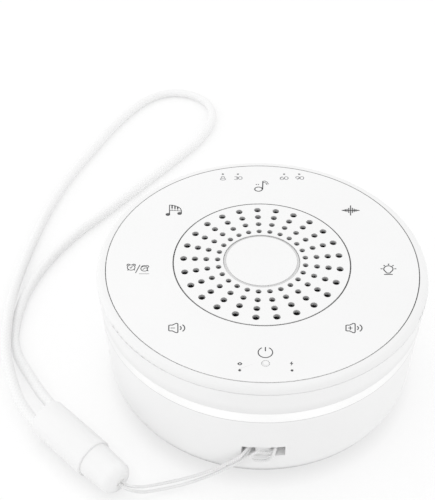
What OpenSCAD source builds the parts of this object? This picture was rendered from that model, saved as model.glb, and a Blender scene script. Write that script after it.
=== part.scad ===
// White noise sound machine: a flat round body with a touch panel, a drilled speaker grille,
// a night-light ring and a wrist lanyard tied to a bar in the front slot.
// Millimetres, +Z up. The origin is the centre of the underside; the lanyard slot faces -Y.

/* [Body] */
// Widest diameter, at the seam under the top bezel
body_d = 100; // [97:0.5:106]
// Height from the feet to the top panel
body_h = 45; // [44:0.5:52]
// Wall thickness of the shells
wall = 2.2; // [1.8:0.1:2.4]
// Lean of the side wall, in degrees
wall_lean = 2; // [1:0.25:2.5]
// Radius of the rounded lower edge
base_round = 9.5; // [8.5:0.5:12]
// How far the feet lift the base off the table
foot_lift = 0.6; // [0.4:0.1:1]
// Clearance between parts that fit in one another
fit = 0.1; // [0.05:0.01:0.2]

/* [Seams] */
// Height of the rounded top bezel
bezel_h = 2; // [1.6:0.1:2.4]
// Width of the bezel's top face and shoulder
bezel_w = 2.7; // [2.4:0.1:3]
// Radius of the bezel's shoulder
bezel_round = 1.9; // [1.2:0.1:2.2]
// Depth of the bezel's tongue inside the upper shell
bezel_tongue = 3.6; // [3:0.1:3.8]
// Height of the upper shell's wall
band_h = 8.5; // [8.2:0.1:9.4]
// Height of the night-light ring that shows
ring_h = 3.8; // [3.2:0.1:4.4]
// Thickness of the ring's inner tongue
ring_tongue_t = 1.7; // [1.2:0.1:2]
// Reach of that tongue into each shell
ring_tongue_h = 1.4; // [1:0.1:1.6]

/* [Touch panel] */
// Thickness of the panel
panel_t = 1.2; // [1:0.1:1.5]
// Open line between the panel and the bezel
panel_gap = 0.25; // [0.2:0.05:0.4]
// Thickness of the adhesive ring under the panel's edge
tape_t = 0.2; // [0.1:0.05:0.3]
// Depth of the collar that carries the grille
collar_h = 1.2; // [1:0.1:1.4]
// Diameter of the indicator windows
pin_d = 0.65; // [0.55:0.05:1]
// Diameter of the status lens
lens_d = 2.2; // [1.8:0.1:2.6]
// Flange thickness of the windows and the lens
pin_flange = 0.6; // [0.4:0.1:0.8]
// Width of a window's flange all round
pin_lip = 0.3; // [0.2:0.1:0.4]
// Width of the lens's flange all round
lens_lip = 0.5; // [0.3:0.1:0.6]
// Number of touch keys
key_count = 8; // [6:1:10]
// Distance of the rear windows from the panel's edge
rear_row = 4.45; // [3.8:0.05:4.6]
// Distance of the front windows from the panel's edge
front_row = 4.05; // [3.8:0.05:4.6]
// Distance of the status lens from the panel's edge
lens_row = 6.45; // [6:0.05:7]

/* [Grille] */
// Radius of the grille plate
grille_r = 26.6; // [26.2:0.1:27.4]
// Open line around the grille plate
grille_gap = 0.4; // [0.3:0.05:0.5]
// Columns of holes
hole_cols = 25; // [20:1:28]
// Rows of holes
hole_rows = 4; // [2:1:4]
// Radius of the innermost row
first_row_r = 13.35; // [13.1:0.05:13.4]
// Spacing of the rows
row_step = 3.45; // [3:0.05:3.5]
// Diameter of the innermost holes
first_hole_d = 1.7; // [1.4:0.1:1.8]
// Growth of the holes from row to row
hole_grow = 0.14; // [0:0.02:0.18]
// Turn of the hole pattern, in degrees
hole_turn = 1.8; // [0:0.1:14]
// Radius of the centre disc
disc_r = 11.5; // [10.5:0.1:11.8]
// Thickness of the centre disc
disc_t = 0.6; // [0.4:0.05:0.7]
// Width of the low step round the disc
disc_step_w = 0.75; // [0.5:0.05:1]
// Depth of that step under the disc's face
disc_step = 0.35; // [0.25:0.05:0.4]
// Diameter of the disc's stud
disc_stud_d = 3; // [2.4:0.1:4]
// Thickness of the dust cloth under the grille
cloth_t = 0.3; // [0.2:0.05:0.4]

/* [Speaker] */
// Outer radius of the speaker's flange
flange_r = 25; // [24.6:0.1:25.2]
// Inner radius of the flange, where the basket starts
basket_r = 20.3; // [20:0.1:20.5]
// Thickness of the basket's sheet
basket_t = 0.8; // [0.6:0.1:1]
// Depth of the basket
basket_h = 8.7; // [8.2:0.1:9.2]
// Height of the foam gasket
gasket_h = 1.7; // [1.6:0.1:2.2]
// Thickness of the surround's rubber
surround_t = 0.3; // [0.2:0.05:0.35]
// Radius of the surround's roll
roll_r = 1.4; // [1.2:0.05:1.45]
// Radius of the voice coil's former
former_r = 6.85; // [6.8:0.05:6.95]
// Thickness of the coil winding
winding_t = 0.6; // [0.4:0.05:0.7]
// Height of the coil winding
winding_h = 4; // [3:0.1:4.2]
// Radius of the magnet
magnet_r = 17; // [15:0.25:18]
// Height of the magnet
magnet_h = 6; // [5:0.25:7]
// Thickness of the steel plates on the magnet
plate_t = 2; // [1.5:0.1:2.4]
// Travel of the cone each way
cone_travel = 1; // [0.6:0.1:1]

/* [Boards] */
// Thickness of the circuit boards
board_t = 1.2; // [1:0.1:1.6]
// Radius of the touch springs
spring_r = 2; // [1.6:0.1:2.2]
// Free height of the touch springs
spring_h = 1.6; // [1.4:0.1:1.8]
// Height of the posts under the touch board
touch_post_h = 3.2; // [3:0.1:3.6]
// Thickness of the deck that carries the boards and the speaker
deck_t = 1.6; // [1.4:0.1:2]
// Length of the posts that hold the LED board
led_post_h = 3.4; // [3:0.1:3.8]
// Number of night-light LEDs
led_count = 12; // [6:3:12]
// Half width of the main board
main_half_w = 20; // [19:0.25:20.5]
// Length of the main board without its tab
main_l = 26.5; // [25:0.5:27]
// Width of the tab under the charging socket
tab_w = 14; // [12:0.5:15]
// Length of that tab
tab_l = 4; // [3:0.25:5]
// Height of the main board's underside over the floor
main_post_h = 6.2; // [5.5:0.1:7]
// Radius of the board screws
small_screw_r = 0.8; // [0.7:0.05:0.9]
// Length of thread that the board screws take in their posts
small_screw_l = 2.8; // [2.2:0.1:3]

/* [Power] */
// Length of the battery
battery_l = 40; // [36:1:42]
// Width of the battery
battery_w = 30; // [26:1:32]
// Thickness of the battery
battery_t = 10; // [8:0.5:12]
// Thickness of the foam pad under the battery
pad_t = 0.8; // [0.5:0.1:1.5]
// How far the pad stays inside the battery's outline
pad_inset = 5; // [2:0.5:8]
// Open space between the battery and the main board
board_clear = 6; // [4.5:0.5:7]
// How far the charging socket stands past its tab
usb_reach = 3.1; // [2.6:0.1:3.6]
// How far the socket's mouth lies inside the wall
usb_inset = 1.3; // [1:0.1:1.8]
// Width of the charging socket
usb_w = 9; // [8.6:0.1:9.4]
// Height of the charging socket
usb_h = 3.2; // [3:0.1:3.4]
// Length of the charging socket
usb_l = 7.4; // [7:0.1:8]

/* [Fasteners and feet] */
// Distance of the case screws from the body's edge
boss_inset = 13.5; // [13.2:0.1:14]
// Angle of the case screws from the X axis
boss_angle = 35; // [30:1:40]
// Outer radius of the case bosses
boss_r = 3.4; // [3.2:0.1:3.6]
// Height at which the two sets of bosses meet
boss_split = 20; // [18:0.5:22]
// Height of the seat under the case screw heads
screw_seat = 14; // [12:0.5:15]
// Radius of the case screws
case_screw_r = 1.1; // [1:0.05:1.2]
// Length of the case screws under their heads
case_screw_l = 14; // [12:0.5:15]
// Radius of the rubber feet
foot_r = 5; // [4:0.5:6]
// Thickness of the rubber feet
foot_t = 1.4; // [1.2:0.1:1.8]
// Distance of the feet from the body's edge
foot_inset = 20; // [19:0.5:23]

/* [Lanyard] */
// Width of the lanyard slot
slot_w = 12.4; // [12:0.1:13]
// Height of the lanyard slot
slot_h = 4.2; // [3.8:0.1:4.4]
// Height of the slot's centre over the table
slot_z = 16.3; // [16:0.1:16.6]
// Depth of the pocket behind the slot
slot_depth = 5.5; // [5.2:0.1:6]
// Wall of the pocket behind the slot
pocket_wall = 1.4; // [1:0.1:1.8]
// Width of the bar in the slot
bar_w = 4.6; // [4.2:0.1:5]
// Thickness of the bar
bar_t = 2; // [1.6:0.1:2.2]
// Diameter of the thin thread
thread_d = 0.9; // [0.7:0.05:1]
// Diameter of the wrist cord
cord_d = 3.4; // [3:0.1:3.5]
// Radius of the barrel
barrel_r = 6; // [5.9:0.1:6.2]
// Length of the barrel
barrel_l = 22; // [20:0.5:24]
// Spacing of the two cord ends in the barrel
cord_gap = 7.5; // [7.3:0.1:7.6]
// Depth of the cord holes in the barrel
cord_seat = 8; // [6:0.5:10]
// Depth of the plug that holds the end cap in the barrel
cap_plug = 4; // [3:0.5:5]
// Radius of the end cap where it meets the barrel
cap_r = 5.4; // [5:0.1:5.6]
// Length of the end cap
cap_l = 11.7; // [10:0.1:13]
// Rounding of the cap's end
cap_round = 2.6; // [2:0.1:3]

/* [Hidden] */
$fn = 96;
eps = 0.01;

// Overlap that joins a post, rib or collar to the piece it grows from
root = 0.5;
// Slack around a screw's shank where it passes freely, and where it bites
pass = 0.3;
bite = 0.05;
// Heads of the board screws and of the case screws
small_head = [1.5, 0.8];
case_head = [case_screw_r + 1.2, 1.6];

// Heights of the seams and of the stack under the panel
z_bezel = body_h - bezel_h;
z_band = z_bezel - band_h;
z_ring = z_band - ring_h;
z_panel = body_h - panel_t;
z_ledge = z_panel - tape_t;
z_cloth = z_panel - cloth_t;
z_flange = z_cloth - gasket_h - surround_t;
z_touch = z_panel - spring_h - board_t;
z_deck = z_touch - touch_post_h;
z_led = z_deck - deck_t - led_post_h;
z_floor = foot_lift + wall;
z_main = z_floor + main_post_h;

// Side wall: an arc at the foot and a straight lean above it, tucked just inside the arc
tuck = 0.03;
round_z = foot_lift + base_round;
round_x = body_d / 2 + tuck - base_round / cos(wall_lean) - (z_bezel - round_z) * tan(wall_lean);

// Radii of the top
bezel_in_r = body_d / 2 - bezel_w;
panel_r = bezel_in_r - panel_gap;
tongue_out_r = wall_x(z_bezel - bezel_tongue, wall) - fit;
tongue_in_r = tongue_out_r - 1.5;
panel_hole_r = grille_r + grille_gap;
collar_in_r = grille_r - 1.4;
collar_out_r = panel_hole_r + 1;
cloth_r = collar_in_r - fit;
touch_out_r = tongue_in_r - 2 * fit;
touch_in_r = panel_hole_r + 1.6;
boss_ring_r = body_d / 2 - boss_inset;
key_ring_r = panel_r - lens_row - lens_d / 2 - pin_d - spring_r - 0.5;
led_out_r = wall_x(z_ring, wall) - ring_tongue_t - 1;
led_in_r = boss_ring_r + boss_r + 0.4;
led_mid_r = (led_out_r + led_in_r) / 2;

// Speaker stack
z_basket = z_flange - basket_h;
z_plate = z_basket - plate_t;
z_magnet = z_plate - magnet_h;
z_yoke = z_magnet - plate_t;
gap_out_r = former_r + winding_t + 0.45;
pole_r = former_r - 0.55;
basket_low_r = 14;
cone_rim_r = basket_r + 0.1 - 2 * roll_r;
roll_mid_r = cone_rim_r + roll_r;
neck_r = former_r + 0.05;
z_spider = z_basket + basket_t + cone_travel + 0.2;
z_neck = z_spider + 0.8;
seat_out_r = flange_r + 1.5;
speaker_hole_r = basket_r + 0.7;
strip = [4, 8, 1];
speaker_screw_at = [for (i = [0:3]) polar(flange_r - 1.2, 90 * i)];

// Places of the keys, windows and boards
key_turn = 360 / key_count;
rear_windows = [for (x = [-12, -6.9, 8.7, 13.8]) [x, panel_r - rear_row]];
front_windows = [for (x = [-7, 7]) [x, front_row - panel_r]];
window_at = concat(rear_windows, front_windows);
lens_at = [0, lens_row - panel_r];
touch_post_at = [for (i = [0:3]) polar(touch_in_r + 2.9, 22.5 + 90 * i)];
led_post_at = [for (i = [0:2]) polar(led_mid_r, 120 * i)];
boss_at = [for (a = [boss_angle, 180 - boss_angle, 180 + boss_angle, -boss_angle]) polar(boss_ring_r, a)];
foot_at = [for (i = [0:3]) polar(body_d / 2 - foot_inset, 90 * i)];

// Main board: its tab carries the charging socket at the rear wall
z_usb = z_main + board_t + usb_h / 2;
usb_front = wall_x(z_usb) - usb_inset;
board_tab = usb_front - usb_reach;
board_back = board_tab - tab_l;
board_front = board_back - main_l;
main_post_at = [for (x = [-1, 1], y = [3, main_l - 4.5]) [x * (main_half_w - 3), board_front + y]];
battery_y = board_front - board_clear - battery_w / 2;
socket_at = [for (p = [[-14, 8], [-14, 15], [14, 8]]) [p[0], board_front + p[1]]];
socket_size = [6, 4.6, 4];
wire_d = 1.1;
z_wire = z_main + board_t + socket_size[2];
ribbon_w = 10;
ribbon_socket_h = 1.6;
ribbon_head_h = 1.2;
ribbon_y = touch_in_r + 2;
ribbon_low_y = board_front + 4;
ribbon_t = 0.4;
ribbon_side = 1;
led_wire_x = 21;
led_wire_y = sqrt(led_mid_r * led_mid_r - led_wire_x * led_wire_x);
pair = 1.4;

// Lanyard: the barrel lies on the table beside the body
barrel_at = [-54.9, -39.9];
barrel_turn = -43;
barrel_start = -15;
cap_start = barrel_start + barrel_l;
cap_plug_r = barrel_r - 2.5;
along = [cos(barrel_turn), sin(barrel_turn), 0];
across = [-sin(barrel_turn), cos(barrel_turn), 0];
axis_at = [barrel_at[0], barrel_at[1], barrel_r];
slot_front = wall_x(slot_z);
bar_back = slot_front - 0.9 - bar_t;

// Wrist cord: its way over the table, from the left cord hole round to the right one
wrist_route = [
    [-77, -20.5, 5.6], [-84, -1.5, 5.3], [-86.5, 18.5, 4.8], [-86.5, 38.5, 2.6],
    [-84.5, 58.5, 1.8], [-81, 78.5, 1.8], [-75.5, 98, 1.8], [-68, 117, 1.8],
    [-60, 135.5, 1.8], [-49.5, 152.5, 1.8], [-39, 160, 1.8], [-28, 159, 1.8],
    [-19.5, 151, 1.8], [-17.5, 138, 1.8], [-23, 122.5, 1.8], [-34, 106.5, 1.8],
    [-46, 90.5, 1.8], [-58, 74.5, 1.8], [-70, 58.5, 1.8], [-79, 41, 1.8],
    [-83.5, 23, 1.8], [-82.5, 3.5, 1.9], [-73, -14, 4.1]
];

// Thread: out along one strand, round the bar, over it as a bight, and back
thread_route = [
    [-39.4, -53.3, 5.9], [-37.4, -53.5, 5.3], [-34.4, -52.6, 3.9], [-29.8, -50.9, 2.7],
    [-24.6, -49.7, 2.9], [-19.4, -49.4, 4.9], [-14.5, -49.5, 8], [-10.4, -49.8, 11.6],
    [-7.8, -50.1, 14.1], [-6.3, -49.9, 15.7], [-5.2, -49.2, 16.8], [-4.25, -48.1, 17.4],
    [-3.5, -46.95, 17.6], [-2.7, -45.85, 17.6], [-1.5, -45.3, 17.6], [0, -45.25, 17.6],
    [1.6, -45.3, 17.6], [2.9, -45.95, 17.6], [3.45, -47.2, 17.6], [3.4, -48.4, 17.5],
    [3.1, -49.4, 17], [2.7, -50.05, 16], [2.05, -50.3, 14.85], [1.05, -50.15, 13.85],
    [-0.1, -50.05, 13.45], [-1.3, -50.2, 13.6], [-2.5, -50.4, 14.1], [-3.35, -50.6, 15],
    [-3.6, -50.65, 16.15], [-3.1, -50.5, 17.2], [-1.95, -50.1, 17.6], [-0.9, -49.7, 17.15],
    [0, -49.4, 16.45], [0.85, -49.25, 16.05], [1.85, -49.1, 16], [2.85, -48.5, 16.15],
    [3.45, -47.3, 16.25], [3, -46, 16.25], [1.7, -45.3, 16.25], [0, -45.25, 16.25],
    [-1.5, -45.3, 16.25], [-2.7, -45.85, 16.2], [-3.5, -46.95, 16.05], [-4.2, -48.1, 15.65],
    [-5.05, -49.3, 14.9], [-6.2, -50.05, 13.8], [-7.9, -50.25, 12.1], [-10.4, -50.1, 9.8],
    [-14.5, -50, 6.4], [-19.4, -50.3, 3.6], [-24.6, -51.1, 2.1], [-29.8, -52.2, 1.8],
    [-34.4, -53.8, 2.9], [-37.8, -54.6, 4.9], [-40, -54.3, 5.85]
];

// Helpers

function polar(r, a) = [r * cos(a), r * sin(a)];

// Radius of the side wall's straight part at a height, at a depth below the outer face
function wall_x(z, inset = 0) =
    round_x - tuck + (base_round - inset) / cos(wall_lean) + (z - round_z) * tan(wall_lean);

// Point on the barrel's axis, with a sideways step
function on_barrel(s, side = 0) = axis_at + along * s + across * side;

function unit(v) = v / norm(v);

// Direction of a route at point i
function heading(p, i) = unit(p[min(i + 1, len(p) - 1)] - p[max(i - 1, 0)]);

// Catmull-Rom point between p[i] and p[i + 1]
function blend(p, i, t) =
    let (a = p[max(i - 1, 0)], b = p[i], c = p[i + 1], d = p[min(i + 2, len(p) - 1)])
    0.5 * (2 * b + (c - a) * t + (2 * a - 5 * b + 4 * c - d) * t * t
        + (3 * b - a - 3 * c + d) * t * t * t);

// A route with one smooth point added in each of its spans from first to last
function smoothed(p, first, last) = [
    for (i = [0:len(p) - 1], h = [0:1])
        if (h == 0 || (i >= first && i < last)) h == 0 ? p[i] : blend(p, i, 0.5)
];

// Frame carried along a route without twist: one side vector per point
function sides(p, i, v) =
    i == len(p) ? [] :
    let (h = heading(p, i), s = unit(v - h * (v * h))) concat([s], sides(p, i + 1, s));

// Tube swept along a route: one polyhedron with flat ends
module tube(p, d, n = 8) {
    side = sides(p, 0, [0.2, 0.1, 1]);
    rings = [
        for (i = [0:len(p) - 1], k = [0:n - 1])
            let (h = heading(p, i), s = side[i], b = cross(h, s))
            p[i] + d / 2 * (cos(360 * k / n) * s + sin(360 * k / n) * b)
    ];
    last = (len(p) - 1) * n;
    walls = [
        for (i = [0:len(p) - 2], k = [0:n - 1])
            [i * n + k, (i + 1) * n + k, (i + 1) * n + (k + 1) % n, i * n + (k + 1) % n]
    ];
    start_cap = [[for (k = [0:n - 1]) k]];
    end_cap = [[for (k = [0:n - 1]) last + n - 1 - k]];
    polyhedron(points = rings, faces = concat(start_cap, walls, end_cap), convexity = 10);
}

// Soft wire through a few points, straight in its first and last span
module wire(p, d) {
    tube(smoothed(p, 1, len(p) - 2), d);
}

module ring(out_r, in_r, h) {
    difference() {
        cylinder(h = h, r = out_r);
        translate([0, 0, -1])
            cylinder(h = h + 2, r = in_r);
    }
}

module at(places) {
    for (p = places)
        translate(p)
            children();
}

// Half outline of the body at a depth below its outer face, cut to a height range
module body_face(inset, z0, z1) {
    r = base_round - inset;
    intersection() {
        union() {
            translate([round_x, round_z])
                circle(r = r);
            translate([0, foot_lift + inset])
                square([round_x, r]);
            polygon([
                [0, round_z],
                [wall_x(round_z, inset), round_z],
                [wall_x(body_h, inset), body_h],
                [0, body_h]
            ]);
        }
        translate([0, z0])
            square([body_d, z1 - z0]);
    }
}

// Pan-head screw pointing up, with its head's seat at z = 0
module screw(r, l, head) {
    translate([0, 0, -eps])
        cylinder(h = l + eps, r = r);
    translate([0, 0, -head[1]])
        cylinder(h = head[1], r = head[0]);
}

// Housing

module base_shell() {
    color("whitesmoke") {
        difference() {
            union() {
                rotate_extrude()
                    difference() {
                        body_face(0, foot_lift, z_ring);
                        body_face(wall, 0, body_h);
                    }
                at(boss_at)
                    translate([0, 0, z_floor - root])
                        cylinder(h = boss_split - z_floor + root, r = boss_r);
                at(main_post_at)
                    translate([0, 0, z_floor - root])
                        cylinder(h = main_post_h + root, r = small_screw_r + 1.6);
                intersection() {
                    pocket_block(pocket_wall);
                    rotate_extrude()
                        body_face(wall / 2, 0, body_h);
                }
            }
            pocket_block(0);
            at(boss_at) {
                translate([0, 0, -1])
                    cylinder(h = screw_seat + 1, r = case_head[0] + pass);
                cylinder(h = boss_split + 1, r = case_screw_r + pass);
            }
            at(main_post_at)
                translate([0, 0, z_floor + 0.6])
                    cylinder(h = main_post_h, r = small_screw_r + bite);
            at(foot_at)
                cylinder(h = foot_t, r = foot_r + fit);
            usb_opening();
        }
        lanyard_bar();
    }
}

// The pocket behind the lanyard slot, grown by a wall
module pocket_block(t) {
    reach = 3 * (t > 0 ? 0 : 1);
    translate([-slot_w / 2 - t, -slot_front - reach, slot_z - slot_h / 2 - t])
        cube([slot_w + 2 * t, slot_depth + reach + t, slot_h + 2 * t]);
}

// The upright bar that the thread is tied to, rounded at both edges
module lanyard_bar() {
    r = bar_t / 2;
    h = slot_h + 0.6;
    translate([0, -bar_back - r, slot_z - h / 2]) {
        translate([r - bar_w / 2, -r, 0])
            cube([bar_w - bar_t, bar_t, h]);
        for (s = [-1, 1])
            translate([s * (bar_w / 2 - r), 0, 0])
                cylinder(h = h, r = r);
    }
}

// The rounded opening for the charging plug at the back
module usb_opening() {
    translate([0, board_back, z_usb])
        rotate([-90, 0, 0])
            linear_extrude(height = body_d / 2)
                flat_oval(usb_w + 0.6, usb_h + 0.7);
}

// Outline with two straight sides and two round ends
module flat_oval(w, h) {
    square([w - h, h], center = true);
    for (s = [-1, 1])
        translate([s * (w - h) / 2, 0])
            circle(d = h);
}

module light_ring() {
    low = z_ring - ring_tongue_h;
    out_r = wall_x(low, wall) - fit;
    color("white")
        rotate_extrude() {
            difference() {
                body_face(0, z_ring, z_band);
                square([out_r - ring_tongue_t, body_h]);
            }
            translate([out_r - ring_tongue_t, low])
                square([ring_tongue_t, ring_h + 2 * ring_tongue_h]);
        }
}

module upper_shell() {
    color("gainsboro")
        difference() {
            union() {
                rotate_extrude()
                    difference() {
                        body_face(0, z_band, z_bezel);
                        body_face(wall, 0, body_h);
                    }
                translate([0, 0, z_deck - deck_t])
                    ring(wall_x(z_deck - deck_t, wall / 2), speaker_hole_r, deck_t);
                translate([0, 0, z_deck - eps])
                    ring(seat_out_r, speaker_hole_r, z_flange - basket_t - z_deck + eps);
                at(boss_at)
                    translate([0, 0, boss_split])
                        cylinder(h = z_deck - boss_split - root, r = boss_r - 0.2);
                at(led_post_at)
                    translate([0, 0, z_led])
                        cylinder(h = led_post_h + root, r = small_screw_r + 1);
                at(touch_post_at)
                    translate([0, 0, z_deck - root])
                        cylinder(h = touch_post_h + root, r = small_screw_r + 1.4);
            }
            at(boss_at)
                translate([0, 0, boss_split - 1])
                    cylinder(h = screw_seat + case_screw_l - boss_split + 2, r = case_screw_r + bite);
            at(led_post_at)
                translate([0, 0, z_led - 1])
                    cylinder(h = small_screw_l + 1, r = small_screw_r + bite);
            at(touch_post_at)
                translate([0, 0, z_touch - small_screw_l])
                    cylinder(h = small_screw_l + 1, r = small_screw_r + bite);
            at(speaker_screw_at)
                translate([0, 0, z_flange - basket_t - small_screw_l])
                    cylinder(h = small_screw_l + 1, r = small_screw_r + bite);
            translate([-ribbon_w / 2 - ribbon_side, ribbon_y - 1.6, z_deck - deck_t - 1])
                cube([ribbon_w + 2 * ribbon_side, 3.2, deck_t + 2]);
        }
}

module top_bezel() {
    low = z_bezel - bezel_tongue;
    color("white")
        rotate_extrude() {
            translate([tongue_in_r, low])
                square([tongue_out_r - tongue_in_r, z_ledge - low]);
            translate([tongue_in_r, z_bezel])
                square([bezel_in_r + 0.4 - tongue_in_r, z_ledge - z_bezel]);
            translate([bezel_in_r, z_bezel])
                square([bezel_w - bezel_round, bezel_h]);
            intersection() {
                translate([body_d / 2 - bezel_round, body_h - bezel_round])
                    circle(r = bezel_round);
                translate([bezel_in_r, body_h - bezel_round])
                    square([bezel_w, bezel_round]);
            }
            translate([bezel_in_r, z_bezel])
                square([bezel_w, max(bezel_h - bezel_round, 0.1)]);
        }
}

// Touch panel and grille

module touch_panel() {
    color("white")
        difference() {
            rotate_extrude()
                polygon([
                    [collar_in_r, z_panel - collar_h],
                    [collar_out_r, z_panel - collar_h],
                    [collar_out_r, z_panel],
                    [panel_r, z_panel],
                    [panel_r, body_h],
                    [panel_hole_r, body_h],
                    [panel_hole_r, z_panel],
                    [collar_in_r, z_panel]
                ]);
            at(window_at)
                translate([0, 0, z_panel - 1])
                    cylinder(h = panel_t + 2, d = pin_d + fit);
            translate([lens_at[0], lens_at[1], z_panel - 1])
                cylinder(h = panel_t + 2, d = lens_d + fit);
        }
}

module panel_tape() {
    color("darkgray")
        translate([0, 0, z_ledge])
            ring(panel_r - fit, tongue_in_r + fit, tape_t);
}

module speaker_grille() {
    color("white")
        difference() {
            translate([0, 0, z_panel])
                cylinder(h = panel_t, r = grille_r);
            for (row = [0:hole_rows - 1], col = [0:hole_cols - 1])
                rotate(90 + hole_turn + 360 / hole_cols * col)
                    translate([first_row_r + row_step * row, 0, z_panel - 1])
                        cylinder(h = panel_t + 2, d = first_hole_d + hole_grow * row);
            translate([0, 0, body_h - disc_t])
                cylinder(h = disc_t + 1, r = disc_r + 0.15);
            translate([0, 0, z_panel - 1])
                cylinder(h = panel_t + 2, d = disc_stud_d + fit);
        }
}

module centre_disc() {
    color("white") {
        translate([0, 0, body_h - disc_t])
            cylinder(h = disc_t, r = disc_r - disc_step_w);
        translate([0, 0, body_h - disc_t])
            ring(disc_r, disc_r - disc_step_w - eps, disc_t - disc_step);
        translate([0, 0, z_panel])
            cylinder(h = panel_t - disc_t + eps, d = disc_stud_d);
    }
}

module grille_cloth() {
    color("black")
        translate([0, 0, z_cloth])
            cylinder(h = cloth_t, r = cloth_r);
}

module indicator_windows() {
    color("dimgray")
        at(window_at) {
            translate([0, 0, z_panel - pin_flange])
                cylinder(h = pin_flange, d = pin_d + 2 * pin_lip);
            translate([0, 0, z_panel - eps])
                cylinder(h = panel_t + eps, d = pin_d);
        }
}

module status_lens() {
    color("lightgray")
        translate([lens_at[0], lens_at[1], z_panel]) {
            translate([0, 0, -pin_flange])
                cylinder(h = pin_flange, d = lens_d + 2 * lens_lip);
            translate([0, 0, -eps])
                cylinder(h = panel_t + eps, d = lens_d);
        }
}

// Speaker

module speaker_gasket() {
    color("black")
        translate([0, 0, z_flange + surround_t])
            ring(basket_r + 2.1, basket_r + 0.3, gasket_h);
}

module speaker_basket() {
    low = z_basket;
    color("dimgray")
        difference() {
            rotate_extrude() {
                translate([basket_r, z_flange - basket_t])
                    square([flange_r - basket_r, basket_t]);
                polygon([
                    [basket_low_r - 1, low],
                    [basket_low_r, low],
                    [basket_r + 0.6, z_flange - basket_t + eps],
                    [basket_r - 0.2, z_flange - basket_t + eps],
                    [basket_low_r - 1, low + basket_t]
                ]);
                translate([gap_out_r, low])
                    square([basket_low_r - gap_out_r - 0.5, basket_t]);
                translate([basket_low_r - 2.6, low])
                    square([1.8, z_spider - low]);
            }
            for (a = [45:90:315])
                rotate(a)
                    translate([basket_low_r + 1, -5, z_spider + 1])
                        cube([basket_r, 10, z_flange - z_spider - 3]);
            at(speaker_screw_at)
                translate([0, 0, z_flange - 2])
                    cylinder(h = 4, r = small_screw_r + bite);
        }
}

// Rubber ring: outer rim, half roll and inner rim
module speaker_surround() {
    t = surround_t;
    color("black")
        rotate_extrude() {
            translate([basket_r + 0.1, z_flange])
                square([2.1, t]);
            translate([cone_rim_r - 1, z_flange])
                square([1, t]);
            intersection() {
                translate([roll_mid_r, z_flange])
                    difference() {
                        circle(r = roll_r + t / 4);
                        circle(r = roll_r - t * 3 / 4);
                    }
                translate([0, z_flange])
                    square([flange_r, 2 * roll_r]);
            }
        }
}

module speaker_cone() {
    t = 0.5;
    rim = cone_rim_r - 0.1;
    color("black")
        rotate_extrude()
            polygon([
                [neck_r, z_neck],
                [neck_r + t, z_neck],
                [rim, z_flange - 2 * t],
                [rim, z_flange],
                [rim - 1, z_flange],
                [neck_r, z_neck + 1.5 * t]
            ]);
}

// Shallow dome over the coil
module dust_cap() {
    r = former_r + 0.8;
    h = 2.4;
    sphere_r = (r * r + h * h) / (2 * h);
    seat = z_neck + 1.25;
    color("black")
        translate([0, 0, seat + h - sphere_r])
            rotate_extrude()
                intersection() {
                    difference() {
                        circle(r = sphere_r);
                        circle(r = sphere_r - 0.3);
                    }
                    translate([0, sphere_r - h])
                        square([r + 1, h + 1]);
                }
}

module voice_coil() {
    mid = z_plate + plate_t / 2;
    color("peru") {
        translate([0, 0, mid - winding_h / 2 - 1])
            ring(former_r, former_r - 0.25, z_neck + 1 - mid + winding_h / 2 + 1);
        translate([0, 0, mid - winding_h / 2])
            ring(former_r + winding_t, former_r - 0.05, winding_h);
    }
}

// Corrugated disc that centres the coil
module speaker_spider() {
    inner = former_r + 0.05;
    outer = basket_low_r - 0.8;
    color("khaki")
        translate([0, 0, z_spider]) {
            ring(outer, inner, 0.4);
            for (r = [inner + 1.4, inner + 3])
                translate([0, 0, 0.4 - eps])
                    ring(r + 0.5, r, 0.3);
        }
}

module top_plate() {
    color("silver")
        translate([0, 0, z_plate])
            ring(magnet_r - 1.5, gap_out_r, plate_t);
}

module speaker_magnet() {
    color("#333333")
        translate([0, 0, z_magnet])
            ring(magnet_r, gap_out_r + 1.6, magnet_h);
}

module pole_yoke() {
    color("silver")
        translate([0, 0, z_yoke]) {
            cylinder(h = plate_t, r = magnet_r - 1);
            cylinder(h = z_basket - z_yoke, r = pole_r);
        }
}

module terminal_strip() {
    color("tan")
        translate([1.4 - magnet_r - strip[0], -strip[1] / 2, z_plate])
            cube(strip);
}

module speaker_screws() {
    color("silver")
        at(speaker_screw_at)
            translate([0, 0, z_flange])
                rotate([180, 0, 0])
                    screw(small_screw_r, basket_t + small_screw_l - 0.2, [1.1, 0.8]);
}

// Touch board and its contacts

module touch_board() {
    color("seagreen")
        difference() {
            translate([0, 0, z_touch])
                ring(touch_out_r, touch_in_r, board_t);
            at(touch_post_at)
                translate([0, 0, z_touch - 1])
                    cylinder(h = board_t + 2, r = small_screw_r + pass);
        }
}

module touch_springs() {
    color("gold")
        at([for (i = [0:key_count - 1]) polar(key_ring_r, 90 + key_turn * i)])
            translate([0, 0, z_touch + board_t])
                ring(spring_r, spring_r - 0.6, spring_h);
}

module indicator_leds() {
    top = z_panel - pin_flange - 0.1;
    base = z_touch + board_t;
    color("lightyellow") {
        at(window_at)
            translate([-0.5, -0.5, base])
                cube([1, 1, top - base]);
        translate([lens_at[0] - 0.8, lens_at[1] - 0.8, base])
            cube([1.6, 1.6, top - base]);
    }
}

module touch_board_screws() {
    color("silver")
        at(touch_post_at)
            translate([0, 0, z_touch + board_t])
                rotate([180, 0, 0])
                    screw(small_screw_r, board_t + small_screw_l - 0.2, small_head);
}

// Night light

module led_board() {
    color("seagreen")
        difference() {
            translate([0, 0, z_led - board_t])
                ring(led_out_r, led_in_r, board_t);
            at(led_post_at)
                translate([0, 0, z_led - board_t - 1])
                    cylinder(h = board_t + 2, r = small_screw_r + pass);
        }
}

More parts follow.
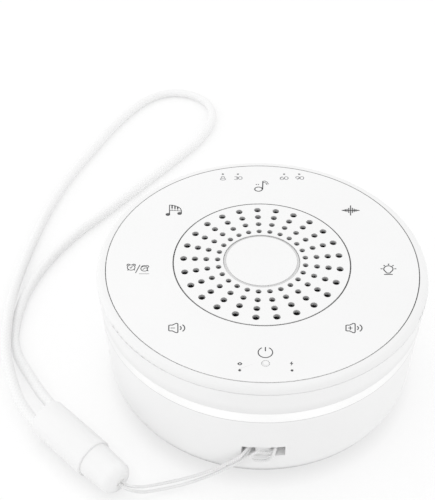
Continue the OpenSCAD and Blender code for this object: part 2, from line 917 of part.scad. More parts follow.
module night_leds() {
    color("lightyellow")
        for (i = [0:led_count - 1])
            rotate(15 + 360 / led_count * i)
                translate([led_out_r - 1.5, -1.5, z_led])
                    cube([1.4, 3, 1.2]);
}

module led_board_screws() {
    color("silver")
        at(led_post_at)
            translate([0, 0, z_led - board_t])
                screw(small_screw_r, board_t + small_screw_l - 0.2, small_head);
}

// Main board

module main_board() {
    color("seagreen")
        difference() {
            union() {
                translate([-main_half_w, board_front, z_main])
                    cube([2 * main_half_w, main_l, board_t]);
                translate([-tab_w / 2, board_back - 1, z_main])
                    cube([tab_w, tab_l + 1, board_t]);
            }
            at(main_post_at)
                translate([0, 0, z_main - 1])
                    cylinder(h = board_t + 2, r = small_screw_r + pass);
        }
}

module main_chips() {
    color("#222222")
        translate([0, board_front, z_main + board_t]) {
            translate([1, 12, 0])
                cube([7, 7, 1.4]);
            translate([-8, 13, 0])
                cube([6, 5, 1.4]);
            translate([-6, 20.5, 0])
                cube([4, 3, 1]);
        }
}

module capacitors() {
    color("slategray")
        at([for (y = [12, 6]) [12.5, board_back - y]])
            translate([0, 0, z_main + board_t])
                cylinder(h = 6, r = 2.5);
}

// Wire sockets on the main board, and the ribbon sockets of both boards
module wire_sockets() {
    color("ivory") {
        at(socket_at)
            translate([-socket_size[0] / 2, -socket_size[1] / 2, z_main + board_t])
                cube(socket_size);
        translate([-ribbon_w / 2 - ribbon_side, ribbon_low_y - 2, z_main + board_t])
            cube([ribbon_w + 2 * ribbon_side, 4, ribbon_socket_h]);
        translate([-ribbon_w / 2 - ribbon_side, ribbon_y - 1.4, z_touch - ribbon_head_h])
            cube([ribbon_w + 2 * ribbon_side, 2.8, ribbon_head_h]);
    }
}

module usb_socket() {
    color("silver")
        translate([0, usb_front - usb_l, z_usb])
            rotate([-90, 0, 0])
                difference() {
                    linear_extrude(height = usb_l)
                        flat_oval(usb_w, usb_h);
                    translate([0, 0, 2])
                        linear_extrude(height = usb_l)
                            flat_oval(usb_w - 0.7, usb_h - 0.7);
                }
}

module main_board_screws() {
    color("silver")
        at(main_post_at)
            translate([0, 0, z_main + board_t])
                rotate([180, 0, 0])
                    screw(small_screw_r, board_t + small_screw_l - 0.2, small_head);
}

// Power and wiring

module battery_pad() {
    color("black")
        translate([pad_inset - battery_l / 2, battery_y + pad_inset - battery_w / 2, z_floor])
            cube([battery_l - 2 * pad_inset, battery_w - 2 * pad_inset, pad_t]);
}

module battery() {
    color("lightsteelblue")
        translate([-battery_l / 2, battery_y - battery_w / 2, z_floor + pad_t])
            cube([battery_l, battery_w, battery_t]);
}

module speaker_wires() {
    x = -magnet_r - 1.6;
    color("firebrick")
        for (s = [-1, 1])
            wire([
                [x, s * 2.4, z_plate],
                [x, s * 2.4, z_plate - 2],
                [x - 0.6 - s * 0.9, socket_at[0][1] - 9.5, z_wire + 5],
                [socket_at[0][0] - s * pair, socket_at[0][1], z_wire + 1.5],
                [socket_at[0][0] - s * pair, socket_at[0][1], z_wire]
            ], wire_d);
}

module battery_wires() {
    back = battery_y + battery_w / 2;
    top = z_floor + pad_t + battery_t;
    color("firebrick")
        for (s = [-1, 1])
            wire([
                [-9 + s * 1.2, back, top - 2],
                [-9 + s * 1.2, back + 1.2, top - 2],
                [-9 + s * 1.2, back + 3, top + 2],
                [-10 + s * 1.2, socket_at[1][1] - 5, z_wire + 2.4],
                [socket_at[1][0] + s * pair, socket_at[1][1], z_wire + 1.5],
                [socket_at[1][0] + s * pair, socket_at[1][1], z_wire]
            ], wire_d);
}

module led_wires() {
    color("lightgray")
        for (s = [-1, 1])
            wire([
                [led_wire_x + s * 0.9, led_wire_y - s * 0.6, z_led - board_t],
                [led_wire_x + s * 0.9, led_wire_y - s * 0.6, z_led - board_t - 2],
                [led_wire_x - 2.5 + s * 1.1, socket_at[2][1] + 8, z_wire + 8],
                [socket_at[2][0] + s * pair, socket_at[2][1], z_wire + 2],
                [socket_at[2][0] + s * pair, socket_at[2][1], z_wire]
            ], wire_d - 0.1);
}

// Flat cable between the two boards, bent in the plane x = 0
module ribbon_cable() {
    low = z_main + board_t + ribbon_socket_h;
    bends = [
        [ribbon_y, z_touch - ribbon_head_h],
        [ribbon_y, z_deck - deck_t - 4],
        [magnet_r + 4, z_yoke - 1],
        [ribbon_low_y, low + 3],
        [ribbon_low_y, low]
    ];
    color("white")
        translate([-ribbon_w / 2, 0, 0])
            rotate([90, 0, 90])
                linear_extrude(height = ribbon_w)
                    strip_outline(bends, ribbon_t);
}

// Outline of a strip of one thickness along a bent line, mitred at the bends
module strip_outline(p, t) {
    normal = [for (i = [0:len(p) - 2]) let (v = unit(p[i + 1] - p[i])) [-v[1], v[0]]];
    mitre = [
        for (i = [0:len(p) - 1])
            let (a = normal[max(i - 1, 0)], b = normal[min(i, len(p) - 2)]) (a + b) / (1 + a * b)
    ];
    near = [for (i = [0:len(p) - 1]) p[i] + mitre[i] * t / 2];
    far = [for (i = [len(p) - 1:-1:0]) p[i] - mitre[i] * t / 2];
    polygon(concat(near, far));
}

// Fasteners and feet

module case_screws() {
    color("silver")
        at(boss_at)
            translate([0, 0, screw_seat])
                screw(case_screw_r, case_screw_l, case_head);
}

module rubber_feet() {
    color("gray")
        at(foot_at)
            cylinder(h = foot_t, r = foot_r);
}

// Lanyard

// Turns a shape about +Z so that it lies along the barrel's axis, from a distance s
module on_axis(s) {
    translate(on_barrel(s))
        rotate([0, 90, barrel_turn])
            children();
}

module cord_barrel() {
    edge = 0.4;
    color("white")
        difference() {
            on_axis(barrel_start)
                rotate_extrude() {
                    translate([0, edge])
                        square([barrel_r, barrel_l - 2 * edge]);
                    square([barrel_r - edge, barrel_l]);
                    for (z = [edge, barrel_l - edge])
                        translate([barrel_r - edge, z])
                            circle(r = edge);
                }
            for (s = [-1, 1])
                translate(across * s * cord_gap / 2)
                    on_axis(barrel_start - 1)
                        cylinder(h = cord_seat + 1, d = cord_d + fit);
            on_axis(cap_start - cap_plug - 0.2)
                cylinder(h = cap_plug + 1, r = cap_plug_r + fit);
        }
}

module barrel_cap() {
    tip_r = cap_r - 0.4;
    color("white")
        on_axis(cap_start)
            difference() {
                rotate_extrude() {
                    polygon([
                        [0, 0],
                        [cap_r, 0],
                        [tip_r, cap_l - cap_round],
                        [0, cap_l - cap_round]
                    ]);
                    intersection() {
                        translate([tip_r - cap_round, cap_l - cap_round])
                            circle(r = cap_round);
                        square([cap_r, cap_l]);
                    }
                    translate([0, cap_l - cap_round - eps])
                        square([tip_r - cap_round, cap_round + eps]);
                    translate([0, -cap_plug])
                        square([cap_plug_r, cap_plug + eps]);
                }
                translate([0, 0, cap_l - 4])
                    cylinder(h = 5, r = thread_d + 0.35);
            }
}

module lanyard_thread() {
    start = cap_start + cap_l;
    inside = [for (s = [-3.8, 0.3]) on_barrel(start + s, 0.55)];
    outside = [for (s = [0.3, -3.8]) on_barrel(start + s, -0.55)];
    route = concat(inside, thread_route, outside);
    color("white")
        tube(smoothed(route, 1, len(route) - 2), thread_d);
}

module wrist_cord() {
    side = cord_gap / 2;
    left = [for (s = [cord_seat - 0.3, 0, -2.5]) on_barrel(barrel_start + s, -side)];
    right = [for (s = [-2.5, 0, cord_seat - 0.3]) on_barrel(barrel_start + s, side)];
    route = concat(left, wrist_route, right);
    color("white")
        tube(smoothed(route, 2, len(route) - 3), cord_d);
}

base_shell();
light_ring();
upper_shell();
top_bezel();
touch_panel();
panel_tape();
speaker_grille();
centre_disc();
grille_cloth();
speaker_gasket();
speaker_basket();
speaker_surround();
speaker_cone();
dust_cap();
voice_coil();
speaker_spider();
top_plate();
speaker_magnet();
pole_yoke();
terminal_strip();
speaker_screws();
touch_board();
touch_springs();
indicator_leds();
indicator_windows();
status_lens();
touch_board_screws();
led_board();
night_leds();
led_board_screws();
main_board();
main_chips();
capacitors();
wire_sockets();
usb_socket();
main_board_screws();
battery();
battery_pad();
speaker_wires();
battery_wires();
led_wires();
ribbon_cable();
case_screws();
rubber_feet();
lanyard_thread();
barrel_cap();
cord_barrel();
wrist_cord();
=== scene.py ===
"""White noise sound machine with its wrist lanyard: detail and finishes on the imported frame, in metres."""

import math
from itertools import accumulate

import bmesh
import bpy
import numpy as np
from mathutils import Matrix, Vector


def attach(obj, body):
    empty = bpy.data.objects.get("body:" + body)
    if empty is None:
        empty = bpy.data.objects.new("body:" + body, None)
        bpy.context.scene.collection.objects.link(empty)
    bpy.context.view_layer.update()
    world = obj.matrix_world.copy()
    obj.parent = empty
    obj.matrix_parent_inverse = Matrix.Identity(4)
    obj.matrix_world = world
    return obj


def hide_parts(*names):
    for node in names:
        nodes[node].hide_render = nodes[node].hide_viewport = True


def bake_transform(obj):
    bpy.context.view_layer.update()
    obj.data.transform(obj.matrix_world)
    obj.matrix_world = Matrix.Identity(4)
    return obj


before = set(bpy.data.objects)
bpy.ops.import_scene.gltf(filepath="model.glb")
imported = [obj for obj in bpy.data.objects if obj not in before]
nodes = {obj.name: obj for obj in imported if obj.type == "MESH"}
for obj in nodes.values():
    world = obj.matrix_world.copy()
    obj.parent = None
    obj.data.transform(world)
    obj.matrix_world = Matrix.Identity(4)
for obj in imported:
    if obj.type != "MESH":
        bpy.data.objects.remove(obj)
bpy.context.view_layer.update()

# ---- Camera --------------------------------------------------------------------------------
# A short telephoto looks down on the front of the machine, a little from its left.
# It takes in the whole lanyard.
FOCAL_PIXELS = 891.98
IMAGE_HEIGHT = 500
camera = bpy.data.objects.new("camera", bpy.data.cameras.new("camera"))
camera.data.sensor_width = 36
camera.data.lens = 36 * FOCAL_PIXELS / IMAGE_HEIGHT
camera.matrix_world = Matrix(
    (
        (0.99993, -0.00225, 0.01174, -0.01021),
        (0.01017, 0.67576, -0.73705, -0.19725),
        (-0.00627, 0.73712, 0.67574, 0.23001),
        (0, 0, 0, 1),
    )
)
bpy.context.scene.collection.objects.link(camera)
bpy.context.scene.camera = camera

# ---- Wrist cord ----------------------------------------------------------------------------
# One length of round woven nylon, 3.4 mm thick, is folded into a loop. Both ends are glued
# into the barrel. It leaves the barrel, runs past the machine and lies on the table.
BARREL_AT = np.array([-54.9, -39.9, 6.0])
ALONG = np.array([math.cos(math.radians(-43)), math.sin(math.radians(-43)), 0])
ACROSS = np.array([-ALONG[1], ALONG[0], 0])
CORD = 0.0034
CORD_HOLE = 3.75
CORD_LAY = [
    [-77, -20.5, 5.6], [-84, -1.5, 5.3], [-86.5, 18.5, 4.8], [-86.5, 38.5, 2.6],
    [-84.5, 58.5, 1.8], [-81, 78.5, 1.8], [-75.5, 98, 1.8], [-68, 117, 1.8],
    [-60, 135.5, 1.8], [-49.5, 152.5, 1.8], [-39, 160, 1.8], [-28, 159, 1.8],
    [-19.5, 151, 1.8], [-17.5, 138, 1.8], [-23, 122.5, 1.8], [-34, 106.5, 1.8],
    [-46, 90.5, 1.8], [-58, 74.5, 1.8], [-70, 58.5, 1.8], [-79, 41, 1.8],
    [-83.5, 23, 1.8], [-82.5, 3.5, 1.9], [-73, -14, 4.1],
]
CARRIERS = 7
STITCH = 1.45


def on_barrel(run, side):
    """A point run along the barrel's axis and side to its left, in millimetres."""
    return BARREL_AT + ALONG * run + ACROSS * side


def laid_path(points, spacing, straight, bell):
    """Stations at even spacing on a Catmull-Rom curve through the points, in metres.

    Each span is the cubic of its four neighbouring points, the first and last few spans stay
    straight, and the summed chord length is cut at the spacing. A bell-shaped mean over that
    many stations then rounds off the joints."""
    p = np.array(points) * 0.001
    padded = np.vstack([2 * p[0] - p[1], p, 2 * p[-1] - p[-2]])
    a, b, c, d = (padded[i : len(padded) - 3 + i, None] for i in range(4))
    t = np.linspace(0, 1, 32, endpoint=False)[None, :, None]
    curve = b + (c - a) * t / 2 + (2 * a - 5 * b + 4 * c - d) * t**2 / 2
    curve = curve + (3 * b - a - 3 * c + d) * t**3 / 2
    line = b + (c - b) * t
    if straight:
        curve[:straight] = line[:straight]
        curve[-straight:] = line[-straight:]
    curve = np.vstack([curve.reshape(-1, 3), p[-1:]])
    run = np.append(0, np.cumsum(np.linalg.norm(np.diff(curve, axis=0), axis=1)))
    at = np.linspace(0, run[-1], int(run[-1] / spacing) + 1)
    even = np.stack([np.interp(at, run, axis) for axis in curve.T], 1)
    weight = np.hanning(bell + 2)[1:-1]
    wide = np.pad(even, ((bell // 2, bell // 2), (0, 0)), mode="reflect", reflect_type="odd")
    return np.stack([np.convolve(axis, weight / weight.sum(), "valid") for axis in wide.T], 1)


def carried_sides(path, first):
    """Side and rise vectors at each station: the side vector is carried along the path by
    taking out its part along each new heading, and the rise is the heading crossed with it."""
    heading = np.gradient(path, axis=0)
    heading /= np.linalg.norm(heading, axis=1)[:, None]

    def turned(side, ahead):
        flat = side - ahead * (side @ ahead)
        return flat / np.linalg.norm(flat)

    side = np.array(list(accumulate(heading, turned, initial=np.array(first, float)))[1:])
    return side, np.cross(heading, side)


def new_piece(name, points, faces, body, finish):
    """A smooth mesh object at the origin, from whole arrays of points and a list of faces. It rides
    the named body, or none yet."""
    mesh = bpy.data.meshes.new(name)
    mesh.from_pydata(points, [], faces)
    mesh.shade_smooth()
    mesh.materials.append(finish)
    piece = bpy.data.objects.new(name, mesh)
    bpy.context.scene.collection.objects.link(piece)
    if body:
        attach(piece, body)
    return piece


def swept_strand(name, path, radius, finish):
    """A closed tube on the case: station i, angle k stands at path + radius * (cos * side + sin * rise).

    The radius is an array of stations by angles. A fan to the path's end closes each end. The
    UV map holds the turn, from 0 to 1, and the run along the path in millimetres."""
    stations, around = radius.shape
    side, rise = carried_sides(path, (0.2, 0.1, 1))
    angle = np.linspace(0, 2 * np.pi, around, endpoint=False)[None, :, None]
    out = np.cos(angle) * side[:, None] + np.sin(angle) * rise[:, None]
    skin = path[:, None] + radius[..., None] * out
    points = np.vstack([skin.reshape(-1, 3), path[:1], path[-1:]])
    row = np.arange(stations - 1)[:, None] * around
    here = np.arange(around)[None, :]
    ahead = (here + 1) % around
    quads = np.stack([row + here, row + ahead, row + around + ahead, row + around + here], -1)
    start = np.stack([here[0] * 0 + stations * around, ahead[0], here[0]], -1)
    end_row = (stations - 1) * around
    end = np.stack([here[0] * 0 + stations * around + 1, end_row + here[0], end_row + ahead[0]], -1)
    faces = quads.reshape(-1, 4).tolist() + start.tolist() + end.tolist()
    piece = new_piece(name, points, faces, "case", finish)
    run = np.append(0, np.cumsum(np.linalg.norm(np.diff(path, axis=0), axis=1))) * 1000
    turn = np.stack([here, here + 1, here + 1, here], -1) / around + 0 * row[..., None]
    length = np.stack([run[:-1], run[:-1], run[1:], run[1:]], -1)[:, None] + 0 * turn
    quad_uv = np.stack([turn, length], -1).reshape(-1, 2)
    fan_turn = np.stack([here[0] + 0.5, here[0] + 1, here[0]], -1) / around
    fans = [np.stack([fan_turn, fan_turn * 0 + at], -1).reshape(-1, 2) for at in (0, run[-1])]
    layer = piece.data.uv_layers.new(name="lay")
    layer.uv.foreach_set("vector", np.vstack([quad_uv, *fans]).astype(np.float32).ravel())
    return piece


class Value:
    """A number or colour that varies over a surface. Sums on it add Math nodes to its finish."""

    def __init__(self, finish, node, socket):
        self.finish = finish
        self.node = node
        self.socket = socket

    def out(self, name):
        """Another output of the same node."""
        return Value(self.finish, self.node, self.node.outputs[name])

    def math(self, operation, other=0.0, first=None):
        """One Math node on this value, or on first in its place."""
        left = self if first is None else first
        return self.finish.node("ShaderNodeMath", {"operation": operation}, {0: left, 1: other})

    def __add__(self, other):
        return self.math("ADD", other)

    __radd__ = __add__

    def __sub__(self, other):
        return self.math("SUBTRACT", other)

    def __rsub__(self, other):
        return self.math("SUBTRACT", self, first=other)

    def __mul__(self, other):
        return self.math("MULTIPLY", other)

    __rmul__ = __mul__

    def __truediv__(self, other):
        return self.math("DIVIDE", other)

    def __pow__(self, other):
        return self.math("POWER", other)

    def wave(self, period):
        """Smooth ripple from 0 to 1 with that period: half of one plus the cosine."""
        return (self * (2 * math.pi / period)).math("COSINE") * 0.5 + 0.5

    def ramp(self, low, high):
        """0 below low, 1 above high, and smooth between them."""
        settings = {"interpolation_type": "SMOOTHSTEP"}
        sockets = {"Value": self, "From Min": low, "From Max": high}
        return self.finish.node("ShaderNodeMapRange", settings, sockets)

    def near(self, middle, reach):
        """1 at the middle, falling to 0 that far to both sides of it."""
        return 1 - (self - middle).math("ABSOLUTE").ramp(0, reach)


class Finish:
    """A procedural material: node() adds any shader node, and shell() closes it with one shader."""

    def __init__(self, name, kind=bpy.data.materials):
        self.material = kind.new(name)
        self.material.use_nodes = True
        self.tree = self.material.node_tree
        self.tree.nodes.clear()
        self.place = self.node("ShaderNodeTexCoord").out("Object")

    def node(self, kind, settings=None, sockets=None):
        """Adds a node, makes its settings first and then fills its sockets with values or links."""
        made = self.tree.nodes.new(kind)
        for name, setting in (settings or {}).items():
            setattr(made, name, setting)
        for name, value in (sockets or {}).items():
            socket = made.inputs[name]
            if isinstance(value, Value):
                self.tree.links.new(value.socket, socket)
            elif socket.type == "RGBA" and len(value) == 3:
                socket.default_value = (*value, 1)
            else:
                socket.default_value = value
        return Value(self, made, made.outputs[0] if made.outputs else None)

    def axes(self, vector=None):
        """The three parts of a vector, by default of the place on the object in metres."""
        parts = self.node("ShaderNodeSeparateXYZ", None, {0: vector or self.place})
        return parts, parts.out("Y"), parts.out("Z")

    def lay(self):
        """On a strand: the turn round it, from 0 to 1, and the run along it in millimetres."""
        return self.axes(self.node("ShaderNodeUVMap", {"uv_map": "lay"}))[:2]

    def radius(self, x=0.0, y=0.0):
        """Distance from an upright axis through (x, y): the root of the summed squares."""
        across, ahead, _ = self.axes()
        return ((across - x) ** 2 + (ahead - y) ** 2).math("SQRT")

    def grain(self, size, detail=2.0, stretch=None):
        """Cloudy noise from about 0.2 to 0.8 with features of that size in metres."""
        at = self.place
        if stretch:
            at = self.node("ShaderNodeMapping", None, {"Vector": at, "Scale": stretch})
        return self.node("ShaderNodeTexNoise", None, {"Vector": at, "Scale": 1 / size, "Detail": detail})

    def cells(self, size):
        """Distance to the nearest of scattered points about one size apart, in cells."""
        return self.node("ShaderNodeTexVoronoi", None, {"Vector": self.place, "Scale": 1 / size})

    def tint(self, share, low, high):
        """A colour between low and high by share."""
        mixed = self.node("ShaderNodeMix", {"data_type": "RGBA"}, {0: share, 6: low, 7: high})
        return Value(self, mixed.node, mixed.node.outputs[2])

    def relief(self, height, depth):
        """A normal bent by a height from 0 to 1 that stands depth metres tall."""
        return self.node("ShaderNodeBump", None, {"Height": height, "Distance": depth, "Strength": 1.0})

    def shell(self, colour, roughness, normal, **plain):
        """Closes the material: what varies goes to its socket, and plain numbers are set on theirs."""
        sockets = {"Base Color": colour, "Roughness": roughness, "Normal": normal}
        sockets.update({name.replace("_", " "): value for name, value in plain.items()})
        shader = self.node("ShaderNodeBsdfPrincipled", None, sockets)
        self.node("ShaderNodeOutputMaterial", None, {"Surface": shader})
        return self.material

    def patterned(self, pattern, dark, light, gloss, depth, **plain):
        """Closes a material whose colour and relief both follow one pattern."""
        return self.shell(self.tint(pattern, dark, light), gloss, self.relief(pattern, depth), **plain)


CORD_AROUND = 56
CORD_STEP = 0.25
CORD_BELL = 31
YARN_RISE = 0.000022
YARN_SINK = 0.00001
cord_points = (
    [on_barrel(run, -CORD_HOLE) for run in (-7.3, -15, -17.5)]
    + CORD_LAY
    + [on_barrel(run, CORD_HOLE) for run in (-17.5, -15, -7.3)]
)
cord_path = laid_path(cord_points, CORD_STEP / 1000, 2, CORD_BELL)
turns = np.linspace(0, 2 * np.pi, CORD_AROUND, endpoint=False)[None, :]
millimetres = np.arange(len(cord_path))[:, None] * CORD_STEP
over = np.cos(CARRIERS * turns + 2 * np.pi * millimetres / STITCH)
under = np.cos(CARRIERS * turns - 2 * np.pi * millimetres / STITCH)
braid = CORD / 2 + YARN_RISE * np.maximum(over, under) - YARN_SINK

woven = Finish("woven_nylon")
turn, run = woven.lay()
left_yarn = (turn * CARRIERS + run / STITCH).wave(1)
right_yarn = (turn * CARRIERS - run / STITCH).wave(1)
crown = left_yarn.math("MAXIMUM", right_yarn)
filament = (turn * CARRIERS * 6 + run * 6 / STITCH).wave(1)
fuzz = woven.grain(0.0004, 4)
woven_finish = woven.shell(
    woven.tint(crown * 0.8 + fuzz * 0.2, (0.87, 0.87, 0.87), (0.925, 0.925, 0.925)),
    0.62 + fuzz * 0.2,
    woven.relief(crown * 0.6 + filament * 0.2 + fuzz * 0.2, 0.00004),
    Specular_IOR_Level=0.1,
    Sheen_Weight=0.04,
    Sheen_Roughness=0.4,
)
wrist_cord = swept_strand("woven_wrist_cord", cord_path, braid, woven_finish)
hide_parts("wrist_cord")

# ---- Lanyard thread ------------------------------------------------------------------------
# A waxed nylon thread of three plies. Both ends are glued inside the end cap. It runs doubled
# to the slot in the base, where its loop is hitched round the moulded bar.
THREAD = 0.0009
THREAD_LAY = [
    [-39.4, -53.3, 5.9], [-37.4, -53.5, 5.3], [-34.4, -52.6, 3.9], [-29.8, -50.9, 2.7],
    [-24.6, -49.7, 2.9], [-19.4, -49.4, 4.9], [-14.5, -49.5, 8], [-10.4, -49.8, 11.6],
    [-7.8, -50.1, 14.1], [-6.3, -49.9, 15.7], [-5.2, -49.2, 16.8], [-4.25, -48.1, 17.4],
    [-3.5, -46.95, 17.6], [-2.7, -45.85, 17.6], [-1.5, -45.3, 17.6], [0, -45.25, 17.6],
    [1.6, -45.3, 17.6], [2.9, -45.95, 17.6], [3.45, -47.2, 17.6], [3.4, -48.4, 17.5],
    [3.1, -49.4, 17], [2.7, -50.05, 16], [2.05, -50.3, 14.85], [1.05, -50.15, 13.85],
    [-0.1, -50.05, 13.45], [-1.3, -50.2, 13.6], [-2.5, -50.4, 14.1], [-3.35, -50.6, 15],
    [-3.6, -50.65, 16.15], [-3.1, -50.5, 17.2], [-1.95, -50.1, 17.6], [-0.9, -49.7, 17.15],
    [0, -49.4, 16.45], [0.85, -49.25, 16.05], [1.85, -49.1, 16], [2.85, -48.5, 16.15],
    [3.45, -47.3, 16.25], [3, -46, 16.25], [1.7, -45.3, 16.25], [0, -45.25, 16.25],
    [-1.5, -45.3, 16.25], [-2.7, -45.85, 16.2], [-3.5, -46.95, 16.05], [-4.2, -48.1, 15.65],
    [-5.05, -49.3, 14.9], [-6.2, -50.05, 13.8], [-7.9, -50.25, 12.1], [-10.4, -50.1, 9.8],
    [-14.5, -50, 6.4], [-19.4, -50.3, 3.6], [-24.6, -51.1, 2.1], [-29.8, -52.2, 1.8],
    [-34.4, -53.8, 2.9], [-37.8, -54.6, 4.9], [-40, -54.3, 5.85],
]
PLY_LEAD = 2.4
THREAD_ASIDE = 0.55
THREAD_AROUND = 24
THREAD_STEP = 0.12
THREAD_BELL = 15
thread_points = (
    [on_barrel(run, THREAD_ASIDE) for run in (14.9, 19.0)]
    + THREAD_LAY
    + [on_barrel(run, -THREAD_ASIDE) for run in (19.0, 14.9)]
)
thread_path = laid_path(thread_points, THREAD_STEP / 1000, 1, THREAD_BELL)
plies = np.linspace(0, 2 * np.pi, THREAD_AROUND, endpoint=False)[None, :]
thread_run = np.arange(len(thread_path))[:, None] * THREAD_STEP
lobes = np.abs(np.cos(1.5 * plies + 3 * np.pi * thread_run / PLY_LEAD))
twist = THREAD / 2 * (0.9 + 0.12 * lobes)

waxed = Finish("waxed_thread")
turn, run = waxed.lay()
ply = (turn * 3 + run * 3 / PLY_LEAD).wave(1)
fibre = (turn * 24 + run * 24 / PLY_LEAD).wave(1)
waxed_finish = waxed.shell(
    waxed.tint(ply * 0.8 + fibre * 0.2, (0.86, 0.86, 0.86), (0.96, 0.96, 0.96)),
    0.4 + waxed.grain(0.0006) * 0.2,
    waxed.relief(ply * 0.5 + fibre * 0.5, 0.00004),
)
lanyard_thread = swept_strand("twisted_thread", thread_path, twist, waxed_finish)
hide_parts("lanyard_thread")

# ---- Barrel and end cap --------------------------------------------------------------------
# Two satin mouldings of white ABS. The cap is pressed into the barrel over the thread's ends,
# a bead of glue closes its bore, and its shoulder stands back from the barrel's rim.
BARREL_WHITE = (0.9, 0.9, 0.9)
# Painted shade: the grey of the side that lies on the table.
CONTACT_SHADE_GREY = (0.6, 0.6, 0.6)
MATT = 0.1
MERGE = 1e-6
FLAT = math.radians(0.2)
SHARP = math.radians(35)
CAP_TIP = 18.7
BEAD = 1.22


def eased(node, width, finish, segments=2):
    """A copy of a CAD node that stands for it: its loose triangles are joined into whole faces,
    every edge sharper than 35 degrees is rounded by the width, and its flats keep flat shading."""
    mesh = nodes[node].data.copy()
    mesh.name = node + "_moulding"
    mesh.materials.clear()
    mesh.attributes.remove(mesh.attributes["custom_normal"])
    joined = bmesh.new()
    joined.from_mesh(mesh)
    bmesh.ops.remove_doubles(joined, verts=joined.verts, dist=MERGE)
    bmesh.ops.dissolve_limit(joined, angle_limit=FLAT, verts=joined.verts, edges=joined.edges)
    joined.to_mesh(mesh)
    joined.free()
    for name in ("sharp_edge", "sharp_face"):
        if name in mesh.attributes:
            mesh.attributes.remove(mesh.attributes[name])
    mesh.shade_smooth()
    mesh.materials.append(finish)
    piece = bpy.data.objects.new(mesh.name, mesh)
    bpy.context.scene.collection.objects.link(piece)
    edge = piece.modifiers.new("eased edges", "BEVEL")
    edge.width = width
    edge.segments = segments
    edge.limit_method = "ANGLE"
    edge.angle_limit = SHARP
    edge.use_clamp_overlap = False
    edge.harden_normals = True
    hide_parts(node)
    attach(piece, "case")
    return piece


def moulded(name, colour, gloss, spark, depth, painted_light_and_shade, shine=0.5):
    """White moulded plastic: spark-eroded grain in the relief and the gloss, a slow change of tone where the
    melt flowed, and faint hairlines from handling. The tone function given before shine paints shade into
    creases, seams and the foot, and light into the base's pocket; shine is how strongly the face mirrors its
    surroundings."""
    plastic = Finish(name)
    fine = plastic.grain(spark, 3)
    flow = plastic.grain(0.018, 3)
    hairline = plastic.grain(0.0012, 1, (1, 14, 3)).ramp(0.68, 0.78)
    tone = plastic.tint(flow, [c * 0.985 for c in colour], [min(c * 1.012, 0.95) for c in colour])
    return plastic.shell(
        painted_light_and_shade(plastic, tone),
        gloss + fine * 0.08 + flow * 0.06 + hairline * 0.08,
        plastic.relief(fine + hairline * -0.15, depth),
        IOR=1.49,
        Specular_IOR_Level=shine,
    )


def contact_shade_tones(plastic, tone):
    """Painted shade greys the side that lies on the table."""
    return plastic.tint(plastic.axes()[2].ramp(0.0008, 0.0046), CONTACT_SHADE_GREY, tone)


barrel_abs = moulded("barrel_abs", BARREL_WHITE, 0.34, 0.0002, 0.000006, contact_shade_tones, MATT)
barrel = eased("cord_barrel", 0.00025, barrel_abs)
cap_abs = moulded("cap_abs", BARREL_WHITE, 0.3, 0.00026, 0.000005, contact_shade_tones, MATT)
cap = eased("barrel_cap", 0.00008, cap_abs)

bulge = np.linspace(-0.97, 0.97, 11)
bead_path = np.array([on_barrel(CAP_TIP - 0.2 + 0.3 * step, 0) for step in bulge]) * 0.001
bead_radius = BEAD * 0.001 * np.sqrt(1 - bulge[:, None] ** 2) * np.ones((1, 32))
clear = Finish("set_glue")
set_glue = clear.shell(
    clear.tint(clear.grain(0.0006), (0.84, 0.84, 0.83), (0.9, 0.9, 0.89)),
    0.18 + clear.grain(0.0004) * 0.1,
    clear.relief(clear.grain(0.0007), 0.00003),
)
swept_strand("glue_bead", bead_path, bead_radius, set_glue)

# ---- Base shell ----------------------------------------------------------------------------
# The lower half of the case: one ABS moulding with a rounded foot, a slot for the lanyard with
# a bar across its pocket, the charging opening at the back, and the screw towers.
SHELL_WHITE = (0.92, 0.92, 0.92)
# Painted shade for the seams and the foot, and painted light for the slot's pocket:
SEAM_SHADE_GREY = (0.66, 0.66, 0.66)
FOOT_SHADE_GREY = (0.34, 0.34, 0.34)
POCKET_PAINTED_LIGHT = (0.96, 0.96, 0.96)
RING_SEAM = 0.03045
FOOT_LOW = 0.004
FOOT_HIGH = 0.0085
POCKET_RADIUS = 0.0484
SLOT_Z = 0.0163
SLOT_REACH = 0.0027


def base_tones(plastic, tone):
    """Painted shade greys the foot towards the table and the rim under the light ring's seam, and painted
    light brightens the pocket behind the slot."""
    z = plastic.axes()[2]
    tone = plastic.tint(z.ramp(RING_SEAM, RING_SEAM + 0.0002), tone, SEAM_SHADE_GREY)
    within = 1 - plastic.radius().ramp(POCKET_RADIUS, POCKET_RADIUS + 0.0003)
    pocket = within * z.near(SLOT_Z, SLOT_REACH).ramp(0, 0.1)
    tone = plastic.tint(pocket, tone, POCKET_PAINTED_LIGHT)
    return plastic.tint(z.ramp(FOOT_LOW, FOOT_HIGH), FOOT_SHADE_GREY, tone)


base_abs = moulded("base_abs", SHELL_WHITE, 0.36, 0.00022, 0.000006, base_tones, MATT)
eased("base_shell", 0.00014, base_abs)

# ---- Rubber feet ---------------------------------------------------------------------------
# Four die-cut pads of grey silicone rubber, glued into shallow seats under the base. They hold
# the case off the table and stop it from sliding.
rubber = Finish("foot_silicone")
speckle = rubber.grain(0.0003, 4)
gloss = 0.72 + speckle * 0.2
silicone = rubber.patterned(speckle, (0.36, 0.36, 0.37), (0.46, 0.46, 0.46), gloss, 0.00004)


def dress(finish, *names):
    """Gives CAD nodes that keep their own shape a finish of this file."""
    for name in names:
        for place in nodes[name].material_slots:
            place.material = finish


dress(silicone, "rubber_feet")

# ---- Main board ----------------------------------------------------------------------------
# A green glass-epoxy board on three pillars carries the sound chips, the charging socket, two
# electrolytic capacitors and the wire sockets. Copper tracks show through the solder mask.


